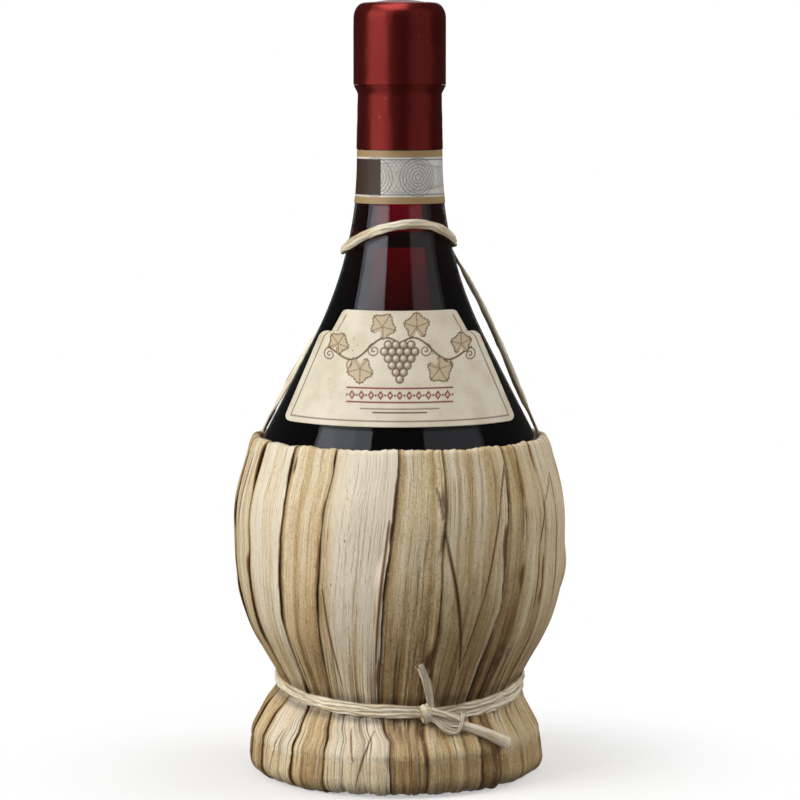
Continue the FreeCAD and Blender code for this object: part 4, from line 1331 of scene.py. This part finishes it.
def cord_route():
    """The cord's route: up the right side, round the neck with a rise across the front, and down the left."""
    azimuth = np.linspace(CORD_FIRST_AZIMUTH, CORD_LAST_AZIMUTH, CORD_STEPS + 1)
    share = np.linspace(0, 1, CORD_STEPS + 1)
    climb = (1 - np.cos(math.pi * share)) / 2 * CORD_LAYER_RISE
    from_crest = np.minimum(np.abs(azimuth - CORD_CREST_AZIMUTH), TURN / 4)
    bend = np.where(azimuth < CORD_CREST_AZIMUTH, *CORD_BENDS)
    z = CORD_LOW_Z + climb + CORD_FRONT_RISE * np.cos(np.radians(from_crest)) ** bend
    half_step = math.radians((azimuth[1] - azimuth[0]) / 2)
    turns = around(azimuth, (shoulder_r(z - CORD_OFF_GLASS) + CORD_OFF_GLASS) / math.cos(half_step), z)
    right, left = (np.array(points).T for points in (CORD_RIGHT_POINTS, CORD_LEFT_POINTS))
    ends = [around(a, r * MM, h * MM) for a, r, h in (right, left)]
    return np.concatenate([ends[0], turns, ends[1]])


def spline_points(route):
    """Points along a smooth spline that has the route as its control points."""
    data = bpy.data.curves.new("neck_cord_line", "CURVE")
    data.dimensions = "3D"
    spline = data.splines.new("NURBS")
    spline.points.add(len(route) - 1)
    spline.points.foreach_set("co", np.c_[route, np.ones(len(route))].ravel())
    spline.order_u = 3
    spline.use_endpoint_u = True
    spline.resolution_u = 10
    line = bpy.data.objects.new("neck_cord_line", data)
    mesh = bpy.data.meshes.new_from_object(line)
    points = np.empty(len(mesh.vertices) * 3)
    mesh.vertices.foreach_get("co", points)
    bpy.data.objects.remove(line)
    return points.reshape(-1, 3)


def neck_cord(material):
    """The neck cord: one flat, slightly twisted strand of raffia along its spline."""
    path = spline_points(cord_route())
    lengths = run_lengths(path)
    ends = 0
    for far, (start, turned, back, leaving) in zip((lengths, lengths[-1] - lengths), FREE_CORD):
        ends = ends + eased(start, turned, far) * eased(back, leaving, far)
    twist = 0.3 * wander(lengths, 34 * MM, 51) * (1 - ends) + FREE_CORD_TURN * ends
    shape = ribbon(path, unit(path * [1, 1, 0]), CORD_WIDTH, CORD_THICK, twist, 0.15 * MM, CORD_SEED, 0.12)
    nodes = ("neck_strap_right", "neck_cord_turns", "neck_strap_left")
    made = piece("neck_cord", shape, material, stands_for=nodes)


# Studio

# Panels mirrored in glass and foil: azimuth, distance, width, low and high edge, and brightness.
# The left one is in steps, each with its high edge and brightness, and is brightest a little above the neck
LEFT_BOX = (-58.0, 1.1, 1.17)
LEFT_LOW = -1.3
LEFT_STEPS = ((0.3, 0.64), (0.6, 1.12), (0.85, 1.0), (1.0, 0.86), (1.15, 0.72), (1.55, 0.56))
RIGHT_BOX = (56.0, 1.1, 1.27, -1.3, 1.55, 0.18)
# Overhead panel mirrored in the cap's shoulder: its middle, width, depth and brightness
TOP_BOX = ((-0.26, -0.32, 1.3), 0.95, 1.2, 2.0)
# Panels that light matt surfaces, given like the mirrored right one
KEY_LAMP = (-60.0, 1.2, 1.1, 0.38, 1.5, 4.75)
SIDE_LAMP = (94.0, 1.0, 0.7, 0.45, 1.15, 4.6)
MIRRORED_WHITE = (0.96, 0.98, 1.06)
LAMP_WHITE = (1.0, 0.985, 0.96)
FILL = 0.05
SKY = 0.36
GLOSSY_ROOM = 0.035
# Half the angle that the white backdrop takes up behind the flask, seen through glass and mirrored
BACKDROP_THROUGH = 14.0
BACKDROP_MIRRORED = 9.0
BACKDROP_EDGE = 1.0
FLOOR_BOUNCE = (0.26, 0.26, 0.26, 1.0)
FLOOR_SEEN = (0.55, 0.55, 0.55, 1.0)
FLOOR_GLOW = 0.45
FLOOR_FADE = (0.045, 0.14)
FLOOR_HALF = 4.0
FLOOR_POINTS = 9
LAMP_POWER = 4.0


def add_lamp(name, colour, middle, turned, width, height, brightness):
    """A rectangle of light, as bright all over whatever its size."""
    data = bpy.data.lights.new(name, "AREA")
    data.shape = "RECTANGLE"
    data.size = width
    data.size_y = height
    data.energy = brightness * LAMP_POWER * width * height
    data.color = colour
    lamp = bpy.data.objects.new(name, data)
    lamp.location = middle
    lamp.rotation_euler = turned
    lamp.visible_camera = False
    bpy.context.scene.collection.objects.link(lamp)
    return lamp


def add_panel(name, colour, azimuth, distance, width, low, high, brightness):
    """An upright panel of light that faces the flask's axis."""
    middle = around(azimuth, distance, (high + low) / 2)
    turned = (math.pi / 2, 0, math.radians(azimuth))
    return add_lamp(name, colour, middle, turned, width, high - low, brightness)


def add_lamps():
    """Three panels that only glass and foil mirror, and two that only light the matt surfaces."""
    middle, width, depth, brightness = TOP_BOX
    overhead = add_lamp("top_mirrored_panel", MIRRORED_WHITE, middle, (0, 0, 0), width, depth, brightness)
    overhead.visible_diffuse = False
    panels = [("right_mirrored_panel", RIGHT_BOX)]
    low = LEFT_LOW
    for high, brightness in LEFT_STEPS:
        panels.append(("left_mirrored_panel", (*LEFT_BOX, low, high, brightness)))
        low = high
    for name, panel in panels:
        add_panel(name, MIRRORED_WHITE, *panel).visible_diffuse = False
    for name, panel in (("key_lamp", KEY_LAMP), ("side_lamp", SIDE_LAMP)):
        lamp = add_panel(name, LAMP_WHITE, *panel)
        lamp.visible_glossy = False
        lamp.visible_transmission = False


def add_world():
    """A white backdrop for the camera, and behind the flask for mirrored and refracted light too.
    Elsewhere the room is dim to glossy rays and gives a plain even fill to matt surfaces."""
    world = Look(bpy.data.worlds.new("studio"), "ShaderNodeOutputWorld")
    camera = world.ray("Is Camera Ray")
    through = world.ray("Is Transmission Ray")
    mirrored = world.ray("Is Glossy Ray") * (1 - through)
    way = world.coordinates("Generated")
    across, deep, rise = (way.axis(name) for name in "XYZ")
    slope = across.math("ARCTAN2", across, deep)
    slope = slope.math("ABSOLUTE", slope)
    white = 0.0
    for share, half in ((through, BACKDROP_THROUGH), (mirrored, BACKDROP_MIRRORED)):
        edges = (math.radians(half + side * BACKDROP_EDGE) for side in (1, -1))
        white = share * slope.step(*edges) + white
    seen = through + mirrored
    sky = rise.math("MAXIMUM", rise, 0.0) * SKY + FILL
    room = white * (1.0 - GLOSSY_ROOM) + seen * GLOSSY_ROOM + (1 - seen) * sky
    level = camera + (1 - camera) * room
    light = world.node("ShaderNodeBackground", {"Color": WHITE, "Strength": level})
    bpy.context.scene.world = world.ended(light)


def floor_material():
    """Pale floor that fades to the white backdrop away from the flask, and keeps its shadow near it."""
    floor = new_material("pale_floor")
    place = floor.coordinates("Object")
    distance = place.node("ShaderNodeVectorMath", {0: place}, "Value", operation="LENGTH")
    seen = floor.ray("Is Camera Ray")
    matt = floor.node("ShaderNodeBsdfDiffuse", {"Color": seen.mixed(FLOOR_BOUNCE, FLOOR_SEEN)})
    glow = floor.node("ShaderNodeEmission", {"Color": WHITE, "Strength": FLOOR_GLOW})
    near = floor.node("ShaderNodeAddShader", {0: matt, 1: glow})
    lit = floor.node("ShaderNodeMixShader", {0: seen, 1: matt, 2: near})
    white = floor.node("ShaderNodeEmission", {"Color": WHITE, "Strength": 1.0})
    faded = seen * distance.step(*FLOOR_FADE)
    return floor.ended(floor.node("ShaderNodeMixShader", {0: faded, 1: lit, 2: white}))


def add_floor():
    """A wide plain floor under the flask."""
    side = np.linspace(-FLOOR_HALF, FLOOR_HALF, FLOOR_POINTS)
    grid = stacked(side[:, None], side[None, :], -0.1 * MM)
    faces = grid_faces(FLOOR_POINTS, FLOOR_POINTS)[:, ::-1]
    mesh = bpy.data.meshes.new("floor")
    mesh.from_pydata(grid.reshape(-1, 3).tolist(), [], faces.tolist())
    mesh.materials.append(floor_material())
    floor = bpy.data.objects.new("floor", mesh)
    bpy.context.scene.collection.objects.link(floor)
    floor.visible_glossy = False
    floor.visible_transmission = False


def add_flask():
    """Glass, wine and cork."""
    piece("glass_flask", spun(glass_section()), glass_material())
    piece("wine_fill", spun(wine_section()), wine_material())
    piece("cork", cork_shape(), cork_material(), "cork")


def add_capsule():
    """The capsule's sleeve, cap and stamped disc."""
    foil = foil_material("dark_red_foil", False)
    cap = cap_section()
    skirt = skirt_section()
    piece("capsule_cap", spun(cap, foil_relief(cap, *CAP_FOLDS)), foil, "cap")
    piece("capsule_skirt", spun(skirt, foil_relief(skirt, *SKIRT_FOLDS)), foil)
    stamped = foil_material("stamped_red_foil", True)
    piece("capsule_top_disc", spun(disc_section()), stamped, "cap")


def add_paper():
    """The neck band and the front label."""
    shape, inks = neck_band()
    piece("neck_band", shape, paper_material("band_paper", *BAND_PAPER), values=inks)
    shape, inks = front_label()
    paper = paper_material("label_paper", *LABEL_PAPER)
    label = piece("front_label", shape, paper, values=inks)
    sheet = label.modifiers.new("paper", "SOLIDIFY")
    sheet.thickness = PAPER
    sheet.offset = -1.0


def add_cover(raffia):
    """The leaf strips, what they are folded round, and the tie at the waist."""
    edges, leans = leaf_edges()
    leaf = leaf_material()
    for index in range(len(LEAF_WIDTHS)):
        name = f"leaf_{('over', 'under')[index % 2]}_{index // 2 + 1:02d}"
        shape, values = leaf_strip(index, edges, leans)
        piece(name, shape, leaf, values=values)
    straw = straw_material()
    piece("foot_ring", foot_ring(), straw)
    piece("rim_hoop", ring_points(HOOP, HOOP_R, 3, 60, 0.12 * MM), straw)
    piece("waist_tie", waist_tie(), raffia)
    piece("waist_knot", waist_knot(), raffia)
    piece("knot_tail_up", knot_tail_up(), raffia)
    piece("knot_tail_down", knot_tail_down(), raffia)


def main():
    """Builds the pieces and the studio."""
    bpy.context.scene.view_settings.view_transform = "Standard"
    add_camera()
    raffia = raffia_material("raffia")
    neck_cord(raffia_material("cord_raffia", CORD_SHADED_SPAN))
    add_flask()
    add_capsule()
    add_paper()
    add_cover(raffia)
    add_world()
    add_lamps()
    add_floor()


main()
